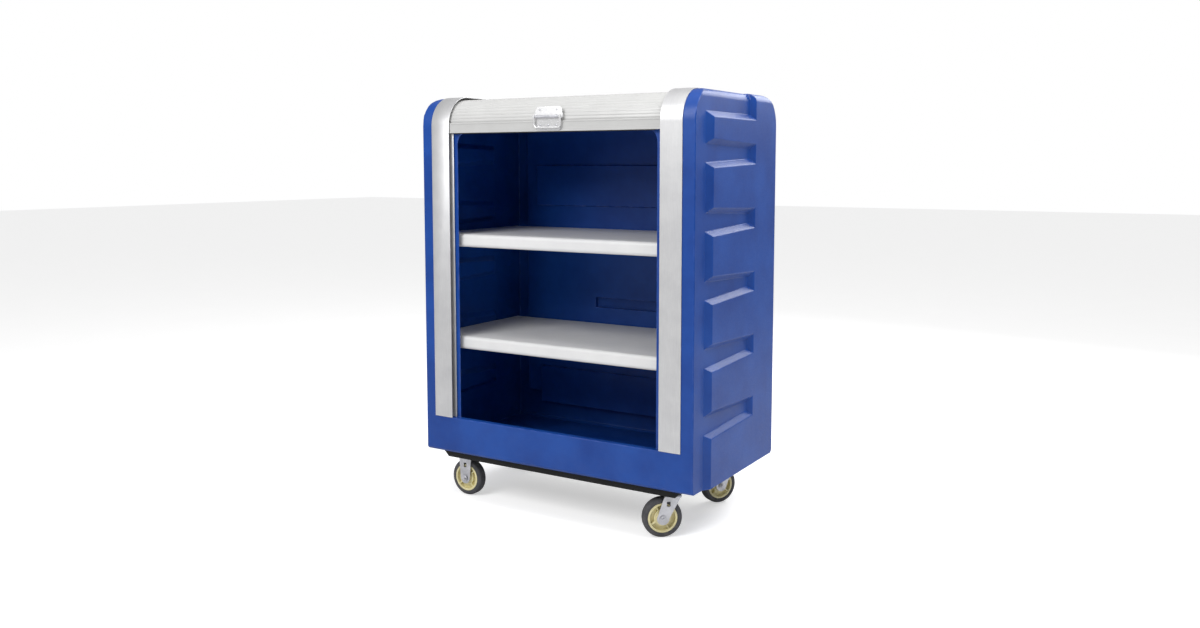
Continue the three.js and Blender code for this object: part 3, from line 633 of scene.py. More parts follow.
def draw_line(name, points):
    """An open line: one corner, extruded from point to point."""
    bpy.ops.mesh.primitive_plane_add(size=0.001, location=points[0])
    line = settle(bpy.context.object, name)
    choose(line, "VERT", lambda corner: True)
    bpy.ops.mesh.merge(type="CENTER")
    for start, end in zip(points, points[1:]):
        bpy.ops.mesh.extrude_region_move(TRANSFORM_OT_translate={"value": Vector(end) - Vector(start)})
    leave()
    return line


def draw_out(line, steps):
    """Draws a line out into a sheet. A step is a move, or a spin: steps, angle, centre and axis."""
    choose(line, "EDGE", lambda edge: True)
    for step in steps:
        if len(step) == 3:
            bpy.ops.mesh.extrude_region_move(TRANSFORM_OT_translate={"value": step})
        else:
            turns, angle, centre, axis = step
            bpy.ops.mesh.spin(steps=turns, angle=math.radians(angle), center=centre, axis=axis)
    leave()
    outwards(line)


track_steps = [
    (0, 0, bend_z - sill_z),
    (bend_steps, 90, (0, housing_front + bend_radius, bend_z), (1, 0, 0)),
    (0, top_run, 0),
    (bend_steps, 90, (0, housing_rear - bend_radius, bend_z), (1, 0, 0)),
    (0, 0, sill_z - bend_z)]


def thicken(sheet, wall, offset=0.0):
    apply_modifier(sheet, "SOLIDIFY", thickness=wall, offset=offset, use_even_offset=True)


print("track:", len(track_steps), "steps")

# %% Channels
channel_metal = 0.003
flange_width = 0.090
flange_lap = 0.0245  # outer edge of the flange to the middle of the web
flange_depth = -0.0018  # the flange stands in front of the housing's face
lip_depth = 0.0175

lip_x, flange_outer = (corner.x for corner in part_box("right_door_channel"))
web_x = flange_outer - flange_lap
flange_y, lip_y = housing_front + flange_depth, housing_front + lip_depth
flange_inner = flange_outer - flange_width
flange = draw_line("flange", [(flange_inner, flange_y, sill_z), (flange_outer, flange_y, sill_z)])
case = draw_line("case", [(web_x, flange_y, sill_z), (web_x, lip_y, sill_z), (lip_x, lip_y, sill_z)])
for sheet in (flange, case):
    draw_out(sheet, track_steps)
    thicken(sheet, channel_metal)
    soften(sheet, 0.0007, 2, 50)
right_channel = join("right_channel", [flange, case])
left_channel = copy_of(right_channel, "left_channel", Matrix.Scale(-1, 4, (1, 0, 0)))
for side, channel in (("right", right_channel), ("left", left_channel)):
    place_on(channel, "cart", "channel", "channel", side + "_door_channel")
print("channels:", len(right_channel.data.polygons), "faces each")

# %% [markdown]
# ## The slatted door
# The door is a curtain of narrow slats that hook into each other, so that it can roll round a bend. One
# slat is modelled: a bar with a crowned face and softened long edges. It is then copied along the
# track, each copy turned to lie across the path. Its slats are placed for the closed door and then
# packed by the inverse of that blend, so that they end up evenly spaced when it is shut.

# %% One slat
pitch = 0.015
slat_depth = 0.009
slat_thickness = 0.0055
slat_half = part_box("door_slats_top")[1].x
slat_gap = 0.0007
slat_crown = 0.0016
crown_cuts = 6
face_depth = 0.001  # corners nearer the front than this belong to the slat's face

slat = block("slat", (-slat_half, 0, -pitch / 2), (slat_half, slat_thickness, pitch / 2 - slat_gap))
choose(slat, "EDGE", lambda edge: runs(edge, (0, 0, 1)) and middle(edge).y < face_depth)
bpy.ops.mesh.subdivide(number_cuts=crown_cuts)
leave()
for corner in slat.data.vertices:
    if corner.co.y < face_depth:
        share = 2 * corner.co.z / pitch
        corner.co.y = slat_crown * share * share
bevel(slat, lambda edge: middle(edge).y < 2 * face_depth and abs(middle(edge).z) > pitch * 0.45
      and runs(edge, (1, 0, 0)), 0.0004, 2)
polish(slat, 30)
print("slat:", len(slat.data.polygons), "faces")


# %% Laying slats along the track
slat_reach = bend_radius - slat_depth
bend_length = math.pi / 2 * slat_reach


def round_bend(centre_y, turn):
    """The place of a slat that has turned this far round a bend."""
    centre = Matrix.Translation((0, centre_y, bend_z))
    return centre @ Matrix.Rotation(-turn, 4, "X") @ Matrix.Translation((0, -slat_reach, 0))


def track_place(distance):
    """The place of a slat at a distance along the track, measured from the start of the front bend."""
    front_centre, rear_centre = housing_front + bend_radius, housing_rear - bend_radius
    on_top = distance - bend_length
    on_rear = on_top - top_run
    if distance < 0:
        return Matrix.Translation((0, housing_front + slat_depth, bend_z + distance))
    if on_top < 0:
        return round_bend(front_centre, distance / slat_reach)
    if on_rear < 0:
        lie = Matrix.Rotation(-math.pi / 2, 4, "X")
        return Matrix.Translation((0, front_centre + on_top, top_z - slat_depth)) @ lie
    if on_rear < bend_length:
        return round_bend(rear_centre, math.pi / 2 + on_rear / slat_reach)
    down = bend_z - (on_rear - bend_length)
    return Matrix.Translation((0, housing_rear - slat_depth, down)) @ Matrix.Rotation(math.pi, 4, "X")


def lay_slats(name, start, end):
    """Slats from one distance along the track to another, as one piece."""
    count = round((end - start) / pitch)
    spacing = (end - start) / count
    places = [track_place(start + (i + 0.5) * spacing) for i in range(count)]
    return join(name, [copy_of(slat, name + "_slat", place) for place in places])


print("bend:", round(bend_length / mm), "mm along its slats")

# %% The runs that stay in place
marks = [0, bend_length, bend_length + top_run, 2 * bend_length + top_run]
tail = marks[3] + bend_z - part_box("door_slats_rear")[0].z
runs_of_slats = {
    "front_bend": (marks[0], marks[1]), "top": (marks[1], marks[2]), "rear_bend": (marks[2], marks[3])}
for run, (start, end) in runs_of_slats.items():
    curtain = lay_slats("curtain_" + run, start, end)
    place_on(curtain, "cart", "slats", "slats", "door_slats_" + run)
    print(curtain.name, len(curtain.data.polygons), "faces")

rear_curtain = lay_slats("curtain_rear", marks[3], tail)
place_on(rear_curtain, "cart", "slats", "slats", "door_slats_rear")
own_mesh(rear_curtain)
print(rear_curtain.name, len(rear_curtain.data.polygons), "faces")

# %% The run that is drawn out in front
travel = joints["door_slide"]["range_m"][1]
stored_low, stored_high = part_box("door_slats_front")
stored_height = stored_high.z - stored_low.z
halvings = 40


def stored_share(fallen):
    """How far down the stored pack a point lies that hangs this far below the bend when shut."""
    low_share, high_share = 0.0, 1.0
    for _ in range(halvings):
        share = (low_share + high_share) / 2
        shut = share * stored_height + travel * share * share * (3 - 2 * share)
        if shut < fallen:
            low_share = share
        else:
            high_share = share
    return (low_share + high_share) / 2


front_curtain = lay_slats("curtain_front", -(stored_height + travel), 0)
for corner in front_curtain.data.vertices:
    fallen = min(max(stored_high.z - corner.co.z, 0.0), stored_height + travel)
    corner.co.z = stored_high.z - stored_height * stored_share(fallen)
    corner.co.y += stored_low.y - housing_front - slat_depth
front_curtain.data.materials.clear()
front_curtain.data.materials.append(finishes["slats"])
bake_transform(front_curtain)
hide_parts("door_slats_front")
remove(slat)
print(front_curtain.name, "stored in", round(stored_height / mm), "mm")

# %% [markdown]
# ## The bottom bar and its seal
# The last slat is a stiffer extrusion that takes the pull. Its front and its back are sunk a little
# inside a raised rim, and a rubber strip closes its lower edge.

# %% Bottom bar
bar_low, bar_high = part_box("door_bottom_bar")
bar = block("bottom_bar", bar_low, bar_high)
push(bar, facing((0, -1, 0)), (0, 0.0012, 0), inset=0.005)
push(bar, facing((0, 1, 0)), (0, -0.001, 0), inset=0.006)
soften(bar, 0.0009, 3, 50)
place_on(bar, "door", "bar", "bottom_bar", "door_bottom_bar")
print("bar:", len(bar.data.polygons), "faces")

# %% Seal
seal_low, seal_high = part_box("door_bottom_seal")
seal = block("seal", seal_low, seal_high)
bevel(seal, lambda edge: runs(edge, (1, 0, 0)) and middle(edge).z < seal_low.z + 0.001, 0.0015, 5)
push(seal, lambda face: abs(face.normal.y) > same_way, (0, 0, 0), inset=0.0006)
soften(seal, 0.0003, 2, 50)
place_on(seal, "door", "rubber", "seal", "door_bottom_seal")
print("seal:", len(seal.data.polygons), "faces")

# %% [markdown]
# ## The pull
# A pressed steel plate is riveted to the door. A hinge pin runs through its rolled middle and carries a
# swinging bail for the hand. The plate's upper half leans back with the curve of the door, its lower
# half is dished behind the bail. The bail is a rod: its end is a circle that is drawn down and spun
# round each lower corner.

# %% Helpers for the pull
plate_low, plate_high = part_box("pull_plate")
pin_low, pin_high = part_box("pull_pin")
hinge = (pin_low + pin_high) / 2
plate_back = plate_high.y
plate_metal = 0.002
plate_half = plate_high.x
seam_z = hinge.z - 0.004  # where the upper plate meets the lower one
dish_depth = 0.0006
rivet_radius = 0.0034
rivet_height = 0.0018


def rounded_plate(name, low_z, high_z, half, low_corner, high_corner):
    """A flat plate in the door's plane with its four corners rounded."""
    plate = block(name, (-half, plate_back - plate_metal, low_z), (half, plate_back, high_z))
    centre_z = (low_z + high_z) / 2
    bevel(plate, lambda edge: runs(edge, (0, 1, 0)) and middle(edge).z > centre_z, high_corner, 6)
    bevel(plate, lambda edge: runs(edge, (0, 1, 0)) and abs(middle(edge).z - low_z) < 0.0001, low_corner, 6)
    return plate


def lean_back(piece, foot_z, degrees):
    """Turns what is above foot_z back about a line through its foot."""
    choose(piece, "VERT", lambda corner: corner.co.z > foot_z)
    bpy.ops.transform.resize(value=(0.9, 1, 1), center_override=(0, plate_back, foot_z))
    leave()
    lean = math.tan(math.radians(degrees))
    for corner in piece.data.vertices:
        corner.co.y += max(corner.co.z - foot_z, 0) * lean


def rivet(x, face_y, z):
    """A domed rivet head on a face: a drum whose rim is rounded far in."""
    head = drum("rivet", rivet_radius, rivet_height, (x, face_y - 0.0007, z), "Y", 20)
    push(head, facing((0, -1, 0)), (0, -rivet_height / 3, 0), inset=rivet_radius * 0.35)
    soften(head, 0.0006, 3, 25)
    return head


print("pull helpers ready")

# %% Pull plate
upper_plate = rounded_plate("upper_plate", seam_z, plate_high.z, plate_half, 0.003, 0.020)
lean_back(upper_plate, hinge.z + 0.003, 8.0)
soften(upper_plate, 0.0005, 2, 40)
lower_plate = rounded_plate("lower_plate", plate_low.z, seam_z, plate_half - 0.012, 0.010, 0.002)
push(lower_plate, facing((0, -1, 0)), (0, dish_depth, 0), inset=0.0035)
soften(lower_plate, 0.0005, 2, 40)
pull_mount = join("pull_mount", [upper_plate, lower_plate])
place_on(pull_mount, "door", "pull", "pull", "pull_plate")
print("pull plate:", len(pull_mount.data.polygons), "faces")

# %% Knuckle and rivets
knuckle_radius = 0.0055
knuckle_half = plate_half - 0.0155
knuckle = drum("knuckle", knuckle_radius, 2 * knuckle_half, hinge, "X", 32)
for direction in (1, -1):
    push(knuckle, facing((direction, 0, 0)), (-0.001 * direction, 0, 0), inset=0.0018)
soften(knuckle, 0.0004, 2, 50)
web = block("web", (-knuckle_half, hinge.y, hinge.z - 0.003),
            (knuckle_half, plate_back - plate_metal / 2, hinge.z + 0.005))
soften(web, 0.0008, 2, 50)
plate_front = plate_back - plate_metal
upper_rivets = [rivet(x, plate_front + 0.0034, hinge.z + 0.026) for x in (-0.040, 0.040)]
lower_rivets = [rivet(x, plate_front + dish_depth, plate_low.z + 0.020) for x in (-0.038, 0, 0.038)]
pull_knuckle = join("pull_knuckle", [knuckle, web] + upper_rivets + lower_rivets)
# The knuckle and its web take the darker zinc finish as painted shade, a dark band along the hinge; the
# rivets share that finish.
place_on(pull_knuckle, "door", "zinc", "pull")
print("knuckle and rivets:", len(pull_knuckle.data.polygons), "faces")

# %% Hinge pin
pin = drum("hinge_pin", (pin_high.z - pin_low.z) / 2, pin_high.x - pin_low.x, hinge, "X", 24)
for direction in (1, -1):
    push(pin, facing((direction, 0, 0)), (-0.0004 * direction, 0, 0), inset=0.0008)
soften(pin, 0.0005, 3, 50)
place_on(pin, "door", "pull", "pull", "pull_pin")
print("hinge pin:", len(pin.data.polygons), "faces")

# %% Bail
bail_low, bail_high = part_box("pull_bail")
rod = 0.004
leg_x = bail_high.x - rod
corner_radius = 0.014
corner_steps = 10
turn_z = bail_low.z + rod + corner_radius
turn_x = leg_x - corner_radius
bpy.ops.mesh.primitive_circle_add(
    vertices=20, radius=rod, fill_type="NOTHING", location=(-leg_x, hinge.y, hinge.z))
bail_rod = settle(bpy.context.object, "bail_rod")
draw_out(bail_rod, [
    (0, 0, turn_z - hinge.z),
    (corner_steps, 90, (-turn_x, hinge.y, turn_z), (0, 1, 0)),
    (2 * turn_x, 0, 0),
    (corner_steps, 90, (turn_x, hinge.y, turn_z), (0, 1, 0)),
    (0, 0, hinge.z - turn_z)])
choose(bail_rod, "EDGE", lambda edge: edge.is_boundary)
bpy.ops.mesh.edge_face_add()
leave()
outwards(bail_rod)
polish(bail_rod, 50)
lug_radius = 0.007
lugs = []
for x in (-leg_x, leg_x):
    lug = drum("lug", lug_radius, 2 * rod, (x, hinge.y, hinge.z), "X", 32)
    for direction in (1, -1):
        push(lug, facing((direction, 0, 0)), (-0.0005 * direction, 0, 0), inset=0.0022)
    soften(lug, 0.0007, 3, 50)
    lugs.append(lug)
bail = join("bail", [bail_rod] + lugs)
place_on(bail, "bail", "pull", "pull", "pull_bail")
print("bail:", len(bail.data.polygons), "faces")

# %% [markdown]
# ## The shelves
# Each shelf is one sheet of steel with its edges folded down. The outer shape comes first: a box whose
# front edges are rolled with a wide bevel. Its bottom is taken away, its rear and side edges are made
# shorter, and a wall thickness on the inside turns the skin into sheet.

# %% Shelves
shelf_metal = 0.002
nose_radius = 0.014
rear_flange = 0.025
fold_width = 0.003


def shelf_tray(level):
    low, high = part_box(level + "_shelf")
    tray = block(level + "_shelf_tray", low, high)
    bevel(tray, lambda edge: runs(edge, (1, 0, 0)) and middle(edge).y < low.y + 0.001, nose_radius, 8)
    choose(tray, "FACE", lambda face: face.normal.z < -0.9)
    bpy.ops.mesh.delete(type="FACE")
    leave()
    choose(tray, "VERT", lambda corner: corner.co.z < high.z - rear_flange and corner.co.y > low.y + 0.05)
    bpy.ops.transform.resize(value=(1, 1, 0), center_override=(0, 0, high.z - rear_flange))
    leave()
    bevel(tray, lambda edge: edge_bend(edge) > 60, fold_width, 3)
    thicken(tray, shelf_metal, offset=-1)
    polish(tray, 30)
    place_on(tray, "cart", "shelf", "shelf", level + "_shelf")
    return tray


for level in ("lower", "upper"):
    tray = shelf_tray(level)
    print(tray.name, len(tray.data.polygons), "faces")

# %% [markdown]
# ## Brackets, base and fasteners
# The shelf angles and the base keep their plain shapes, so they stay as they are in the frame. Two
# modifiers finish them without touching their meshes: one welds their loose triangles together and
# the next rounds their edges. Screw and bolt heads are new, and each kind is modelled once.

# %% Frame pieces that stay
kept_widths = {"_angle": 0.0008, "base_": 0.0012, "_sleeve": 0.0005}
kept_finishes = {"_angle": "zinc", "base_": "base", "_sleeve": "zinc"}
for name, piece in nodes.items():
    for mark, width in kept_widths.items():
        if mark in name:
            weld = piece.modifiers.new("weld", "WELD")
            weld.merge_threshold = double_gap
            rounding = piece.modifiers.new("rounding", "BEVEL")
            rounding.width = width
            rounding.segments = 2
            rounding.limit_method = "ANGLE"
            rounding.angle_limit = math.radians(40)
            rounding.harden_normals = False
            piece.data.materials.clear()
            piece.data.materials.append(finishes[kept_finishes[mark]])
print("kept as they are:", sum(any(mark in name for mark in kept_widths) for name in nodes))


# %% Screw heads
def hex_head(name, across, height, centre, axis):
    """A hexagon head with the turned chamfer that all of them have."""
    head = drum(name, across / 2 / math.cos(math.pi / 6), height, centre, axis, 6)
    soften(head, height * 0.12, 2, 40)
    washer = drum(name + "_washer", across * 0.72, height * 0.25, centre, axis, 28)
    soften(washer, height * 0.06, 2, 40)
    return [head, washer]


def button_head(name, radius, centre, towards):
    """A low round head with a round socket, on a wall that looks along X."""
    height = radius * 0.55
    head = drum(name, radius, height, Vector(centre) + Vector((towards * height / 2, 0, 0)), "X", 24)
    bevel(head, lambda edge: abs(middle(edge).x - centre[0]) > height * 0.8
          and not runs(edge, (1, 0, 0)), radius * 0.35, 4)
    push(head, facing((towards, 0, 0)), (-towards * height * 0.35, 0, 0), inset=radius * 0.25)
    polish(head, 35)
    return head


print("screw heads ready")

# %% Screws of the shelf angles
screw_radius = 0.0055
angle_metal = 0.003
screw_shares = (0.08, 0.36, 0.64, 0.92)
for name in nodes:
    if name.endswith("_angle"):
        low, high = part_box(name)
        inner_side = -1 if high.x > 0 else 1
        wall_x = (high.x if high.x > 0 else low.x) + inner_side * angle_metal
        spots = [(wall_x, low.y + (high.y - low.y) * share, low.z + 0.014) for share in screw_shares]
        heads = [button_head("screw", screw_radius, spot, inner_side) for spot in spots]
        place_on(join(name + "_screws", heads), "cart", "zinc", "shelf")
        print(name, len(heads), "screws")

# %% [markdown]
# ## The casters
# Two casters are rigid and two swivel. They share a wheel: a moulded hub with a deep ring between its
# rim and its stepped boss, crossed by four ribs, inside a rubber tyre with round shoulders. The wheel is
# turned from plain drums by pushing rings of their end faces in and out, just as a lathe would cut
# them. The fork is pressed from one strip, with a rounded crown and legs that taper to a round end at
# the axle.

# %% Hub
tyre_low, tyre_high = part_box("front_left_caster_tyre")
wheel_radius = (tyre_high.z - tyre_low.z) / 2
tread = 0.042
hub_width = 0.046
rim_radius = 0.057
rim_wall = 0.008
boss_radius = 0.0225
bore_radius = 0.0112
step_radius = 0.033
step_half = 0.0165
web_half = 0.005
rib_wall = 0.006
rib_inset = 0.003


def caps(side):
    """A test for the faces round the middle of a wheel's end, so that a ring outside is left alone."""
    looks_out = facing((0, side, 0))
    return lambda face: looks_out(face) and face.calc_center_median().xz.length < 0.004


def make_hub():
    hub = drum("hub", rim_radius - 0.0003, tread, (0, 0, 0), "Y", 72)
    for side in (1, -1):
        cap = caps(side)
        push(hub, cap, (0, -side * (tread / 2 - web_half), 0), inset=rim_wall)
        push(hub, cap, (0, side * (step_half - web_half), 0), inset=rim_radius - rim_wall - step_radius)
        push(hub, cap, (0, side * (hub_width / 2 - step_half), 0), inset=step_radius - boss_radius)
        push(hub, cap, (0, -side * 0.004, 0), inset=boss_radius - bore_radius)
    soften(hub, 0.0012, 3, 40)
    ribs = []
    reach = rim_radius - rim_wall / 2
    for quarter in range(4):
        rib = block("rib", (step_radius - 0.004, -tread / 2 + rib_inset, -rib_wall / 2),
                    (reach, tread / 2 - rib_inset, rib_wall / 2))
        bevel(rib, lambda edge: runs(edge, (1, 0, 0)), 0.0016, 3)
        polish(rib, 40)
        rib.data.transform(Matrix.Rotation(quarter * math.pi / 2, 4, "Y"))
        ribs.append(rib)
    return join("hub", [hub] + ribs)


hub = make_hub()
print("hub:", len(hub.data.polygons), "faces")

# %% Tyre
shoulder = 0.011
inner_ring = 0.003
wall_sink = 0.0008


def make_tyre():
    """A drum with round shoulders, side walls that sink a little towards the rim, and a bore."""
    tyre = drum("tyre", wheel_radius, tread, (0, 0, 0), "Y", 96)
    bevel(tyre, lambda edge: abs(middle(edge).y) > tread * 0.49, shoulder, 6)
    for side in (1, -1):
        side_wall = wheel_radius - shoulder - rim_radius - inner_ring
        push(tyre, caps(side), (0, -side * wall_sink, 0), inset=side_wall)
        choose(tyre, "FACE", caps(side))
        bpy.ops.mesh.inset(thickness=inner_ring - 0.0002, depth=0)
        leave()
    choose(tyre, "FACE", lambda face: caps(1)(face) or caps(-1)(face))
    bpy.ops.mesh.bridge_edge_loops()
    leave()
    outwards(tyre)
    polish(tyre, 30)
    return tyre


tyre = make_tyre()
print("tyre:", len(tyre.data.polygons), "faces")

# %% Fork saddle
fork_inner = 0.026
fork_metal = 0.004
fork_outer = fork_inner + fork_metal
crown_reach = 0.033
end_radius = 0.024
skirt = 0.014
swivel_trail = 0.038


def skirt_share(crown_top):
    """How much of the way from the crown to the axle the skirt covers."""
    return skirt / (crown_top - wheel_radius)


def skirt_width(crown_top):
    """The fork's width at the foot of its skirt, against its width at the crown."""
    return 1 - skirt_share(crown_top) * (1 - end_radius / crown_reach)


def make_saddle(trail, crown_top):
    """The rounded crown with a short skirt, open towards the front and the back."""
    skirt_z = crown_top - skirt
    saddle = block("saddle", (-crown_reach, -fork_outer, skirt_z), (crown_reach, fork_outer, crown_top))
    choose(saddle, "FACE", lambda face: face.normal.z < -0.9 or abs(face.normal.x) > 0.9)
    bpy.ops.mesh.delete(type="FACE")
    leave()
    bevel(saddle, lambda edge: runs(edge, (1, 0, 0)) and middle(edge).z > crown_top - 0.001, 0.006, 6)
    choose(saddle, "VERT", lambda corner: corner.co.z < skirt_z + 0.0001)
    bpy.ops.transform.resize(value=(skirt_width(crown_top), 1, 1), center_override=(0, 0, skirt_z))
    bpy.ops.transform.translate(value=(-trail * skirt_share(crown_top), 0, 0))
    leave()
    thicken(saddle, fork_metal, offset=-1)
    return saddle


print("saddle helper ready")

# %% Fork legs
window_half_x = 0.007
window_half_z = 0.0095


def make_leg(side, trail, crown_top):
    """A leg that narrows to a round end at the axle, with a window over the tyre."""
    skirt_z = crown_top - skirt
    centre = (-trail, side * (fork_outer - fork_metal / 2), wheel_radius)
    leg = drum("leg", end_radius, fork_metal, centre, "Y", 64)
    choose(leg, "VERT", lambda corner: corner.co.z > wheel_radius + 0.0001)
    bpy.ops.transform.resize(value=(1, 1, 0), center_override=(0, 0, wheel_radius))
    bpy.ops.transform.translate(value=(0, 0, skirt_z - wheel_radius))
    leave()
    for corner in leg.data.vertices:
        if corner.co.z > wheel_radius + 0.001:
            across = (corner.co.x + trail) / end_radius
            corner.co.x = across * skirt_width(crown_top) * crown_reach - trail * skirt_share(crown_top)
    x, y, z = -trail * 0.45, side * fork_outer, 2 * wheel_radius - 0.020
    window = block("window", (x - window_half_x, y - 0.01, z - window_half_z),
                   (x + window_half_x, y + 0.01, z + window_half_z))
    bevel(window, lambda edge: runs(edge, (0, 1, 0)), 0.0015, 3)
    outwards(leg)
    cut(leg, window)
    return leg


print("leg helper ready")


# %% Whole forks
def make_fork(name, trail, crown_top, cupped):
    """A saddle with a leg on each side, and on a swivel fork the cup that carries the balls."""
    parts = [make_saddle(trail, crown_top)] + [make_leg(side, trail, crown_top) for side in (-1, 1)]
    for part in parts:
        soften(part, 0.0006, 2, 50)
    if cupped:
        cup = drum("cup", 0.031, 0.006, (0, 0, crown_top - 0.0034), "Z", 64)
        push(cup, facing((0, 0, 1)), (0, 0, -0.002), inset=0.018)
        soften(cup, 0.001, 3, 40)
        parts.append(cup)
    return join(name, parts)


plate_bottom, plate_top = (corner.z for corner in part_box("front_left_caster_plate"))
swivel_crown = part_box("front_right_caster_fork")[1].z
fork_rigid = make_fork("fork_rigid", 0.0, plate_bottom - 0.0003, False)
fork_swivel = make_fork("fork_swivel", swivel_trail, swivel_crown, True)
print("forks:", len(fork_rigid.data.polygons), "and", len(fork_swivel.data.polygons), "faces")

# %% Axle and nut
axle_radius = 0.006
axle_across = 0.018


def make_axle():
    """A bolt through both legs, its head on one side and a little thread past the other."""
    head = hex_head("axle_head", axle_across, 0.006, (0, fork_outer + 0.0033, 0), "Y")
    shank = drum("shank", axle_radius, 2 * fork_outer + 0.012, (0, -0.006, 0), "Y", 32)
    push(shank, facing((0, -1, 0)), (0, -0.001, 0), inset=0.001)
    return join("axle", head + [shank])


axle = make_axle()
nut = join("nut", hex_head("axle_nut", axle_across, 0.008, (0, -fork_outer - 0.0043, 0), "Y"))
print("axle and nut:", len(axle.data.polygons) + len(nut.data.polygons), "faces")

# %% Raceway and kingpin
lower_race = 0.033
upper_race = 0.037
race_neck = 0.029
kingpin_radius = 0.008
kingpin_across = 0.019


def make_race():
    """The two pressed cups that hold the swivel balls, with a narrower neck between them."""
    lower = drum("race", lower_race, 0.0065, (0, 0, swivel_crown + 0.0036), "Z", 72)
    upper = drum("race", upper_race, 0.0075, (0, 0, plate_bottom - 0.0041), "Z", 72)
    neck_height = plate_bottom - swivel_crown - 0.002
    neck = drum("race", race_neck, neck_height, (0, 0, (plate_bottom + swivel_crown) / 2), "Z", 48)
    bevel(lower, lambda edge: middle(edge).z < swivel_crown + 0.001 and not runs(edge, (0, 0, 1)), 0.002, 4)
    bevel(upper, lambda edge: middle(edge).z > plate_bottom - 0.001 and not runs(edge, (0, 0, 1)), 0.004, 5)
    for part in (lower, upper, neck):
        soften(part, 0.0006, 2, 40)
    return join("race", [lower, upper, neck])


def make_kingpin():
    """A bolt up the middle of the raceway, its head below."""
    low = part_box("front_right_caster_kingpin")[0].z
    parts = hex_head("kingpin", kingpin_across, 0.0065, (0, 0, low + 0.0035), "Z")
    middle_z = (plate_bottom + low) / 2
    shank = drum("shank", kingpin_radius, plate_bottom - low - 0.001, (0, 0, middle_z), "Z", 32)
    soften(shank, 0.0005, 2, 40)
    return join("kingpin", parts + [shank])


race = make_race()
kingpin = make_kingpin()
print("race and kingpin:", len(race.data.polygons) + len(kingpin.data.polygons), "faces")

# %% Top plate
plate_half_x = 0.050
plate_half_y = 0.056
bolt_inset = 0.012


def make_plate():
    """A plate with round corners and a bolt near each of them."""
    plate = block("plate", (-plate_half_x, -plate_half_y, plate_bottom),
                  (plate_half_x, plate_half_y, plate_top))
    bevel(plate, lambda edge: runs(edge, (0, 0, 1)), 0.010, 6)
    soften(plate, 0.0008, 2, 50)
    parts = [plate]
    for x in (-plate_half_x + bolt_inset, plate_half_x - bolt_inset):
        for y in (-plate_half_y + bolt_inset, plate_half_y - bolt_inset):
            parts += hex_head("bolt", 0.010, 0.005, (x, y, plate_bottom - 0.0022), "Z")
    return join("plate", parts)


plate = make_plate()
print("top plate:", len(plate.data.polygons), "faces")

# %% [markdown]
# ## Placing the casters
# Each caster's place and heading come from the frame: its plate gives the centre, and the joint of its
# wheel gives the axle. A rigid fork has its axle straight under the plate. A swivel fork trails behind,
# so the way from the plate to the axle tells how it was left standing.

# %% Casters
rib_turn = {
    "front_left_caster": 50, "rear_left_caster": 15, "front_right_caster": 61, "rear_right_caster": 40}

for caster, ribs_at in rib_turn.items():
    low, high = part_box(caster + "_plate")
    centre = Vector(((low.x + high.x) / 2, (low.y + high.y) / 2, 0))
    axle_at = Vector(joints[caster + "_wheel_spin"]["pos_m"])
    back = centre - axle_at
    swivels = math.hypot(back.x, back.y) > 0.001
    heading = math.atan2(back.y, back.x) if swivels else 0.0
    stand = Matrix.Translation(centre) @ Matrix.Rotation(heading, 4, "Z")
    wheel = Matrix.Translation(axle_at) @ Matrix.Rotation(heading, 4, "Z")
    turned = wheel @ Matrix.Rotation(math.radians(ribs_at), 4, "Y")
    carrier = caster + "_swivel" if swivels else "cart"
    rows = [
        ("plate", plate, stand, "cart", "zinc", "caster_steel"),
        ("fork", fork_swivel if swivels else fork_rigid, stand, carrier, "zinc", "caster_steel"),
        ("axle", axle, wheel, carrier, "zinc", "caster_steel"),
        ("axle_nut", nut, wheel, carrier, "zinc", "caster_steel"),
        ("hub", hub, turned, caster + "_wheel", "hub", "hub"),
        ("tyre", tyre, wheel, caster + "_wheel", "tyre", "tyre")]
    if swivels:
        rows += [("raceway", race, stand, "cart", "zinc", "caster_steel"),
                 ("kingpin", kingpin, stand, "cart", "zinc", "caster_steel")]
    for part, model, where, body, finish, slot in rows:
        piece = copy_of(model, "detailed_" + caster + "_" + part, where)
        place_on(piece, body, finish, slot, caster + "_" + part)
for model in (fork_rigid, fork_swivel, axle, nut, race, kingpin, plate, hub, tyre):
    remove(model)
print("casters placed:", len(rib_turn))

# %% [markdown]
# ## Floor and light
# A pale floor and a bright, even surround show the cart as in a studio. One large soft lamp above
# lights the slopes that look up, one high in front reaches over the shelves, one opens the right side,
# and one behind gives the raised bands their sheen. The floor and the surround look brighter to the
# camera than they are to the cart.

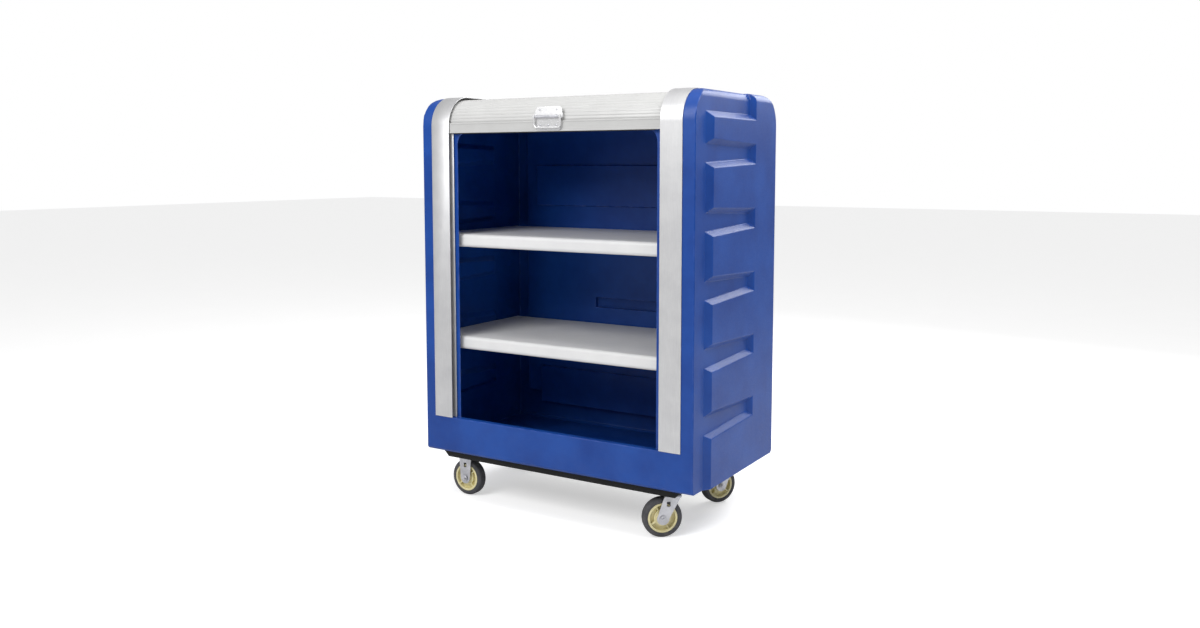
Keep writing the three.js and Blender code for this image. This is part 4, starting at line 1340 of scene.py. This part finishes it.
# %% Floor
white = (1.0, 1.0, 1.0, 1.0)
floor_material = bpy.data.materials.new("pale_floor")
floor_material.use_nodes = True
floor_tree = floor_material.node_tree
floor_place = node(floor_tree, "TexCoord").outputs["Object"]
floor_noise = node(floor_tree, "TexNoise", {"Vector": floor_place}, Scale=3.0)
floor_tone = mix(floor_tree, floor_noise.outputs["Fac"], linear(236, 236, 236), linear(230, 230, 230))
floor_shader = floor_tree.nodes["Principled BSDF"]
floor_tree.links.new(floor_tone, floor_shader.inputs["Base Color"])
floor_shader.inputs["Roughness"].default_value = 0.75
floor_shader.inputs["Emission Color"].default_value = white
floor_seen = node(floor_tree, "LightPath").outputs["Is Camera Ray"]
floor_glow = node(floor_tree, "MapRange", {"Value": floor_seen}, To_Min=0.0, To_Max=0.5)
floor_tree.links.new(floor_glow.outputs["Result"], floor_shader.inputs["Emission Strength"])
bpy.ops.object.select_all(action="DESELECT")
bpy.ops.mesh.primitive_plane_add(size=60, location=(0, 0, 0))
floor = settle(bpy.context.object, "floor")
floor.data.materials.append(floor_material)
floor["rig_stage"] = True
print("floor ready")

# %% Surround
world = bpy.data.worlds.new("surround")
world.use_nodes = True
glow = world.node_tree.nodes["Background"]
glow.inputs["Color"].default_value = white
seen = node(world.node_tree, "LightPath").outputs["Is Camera Ray"]
strength = node(world.node_tree, "MapRange", {"Value": seen}, To_Min=0.45, To_Max=1.0)
world.node_tree.links.new(strength.outputs["Result"], glow.inputs["Strength"])
bpy.context.scene.world = world
print("surround ready")


# %% Lamps
def lamp(name, place, target, width, depth, power):
    """A flat soft lamp that looks at a point."""
    data = bpy.data.lights.new(name, "AREA")
    data.shape = "RECTANGLE"
    data.size = width
    data.size_y = depth
    data.energy = power
    made = bpy.data.objects.new(name, data)
    made.location = place
    made.rotation_euler = (Vector(target) - Vector(place)).to_track_quat("-Z", "Y").to_euler()
    made.visible_camera = False
    bpy.context.scene.collection.objects.link(made)


lamp("overhead", (0.6, -0.3, 4.4), (0, 0, 0.8), 3.0, 2.4, 40)
lamp("high_front", (-0.8, -3.6, 3.4), (0, 0, 0.9), 2.2, 2.0, 120)
lamp("high_right", (2.6, -0.3, 4.0), (0.5, 0, 0.9), 1.8, 1.8, 75)
lamp("high_rear", (1.2, 3.8, 3.0), (0.4, 0, 1.0), 2.6, 1.8, 90)
bpy.context.scene.view_settings.view_transform = "Standard"
print("lamps ready")

# %% Sizes of all shown pieces
low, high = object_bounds()
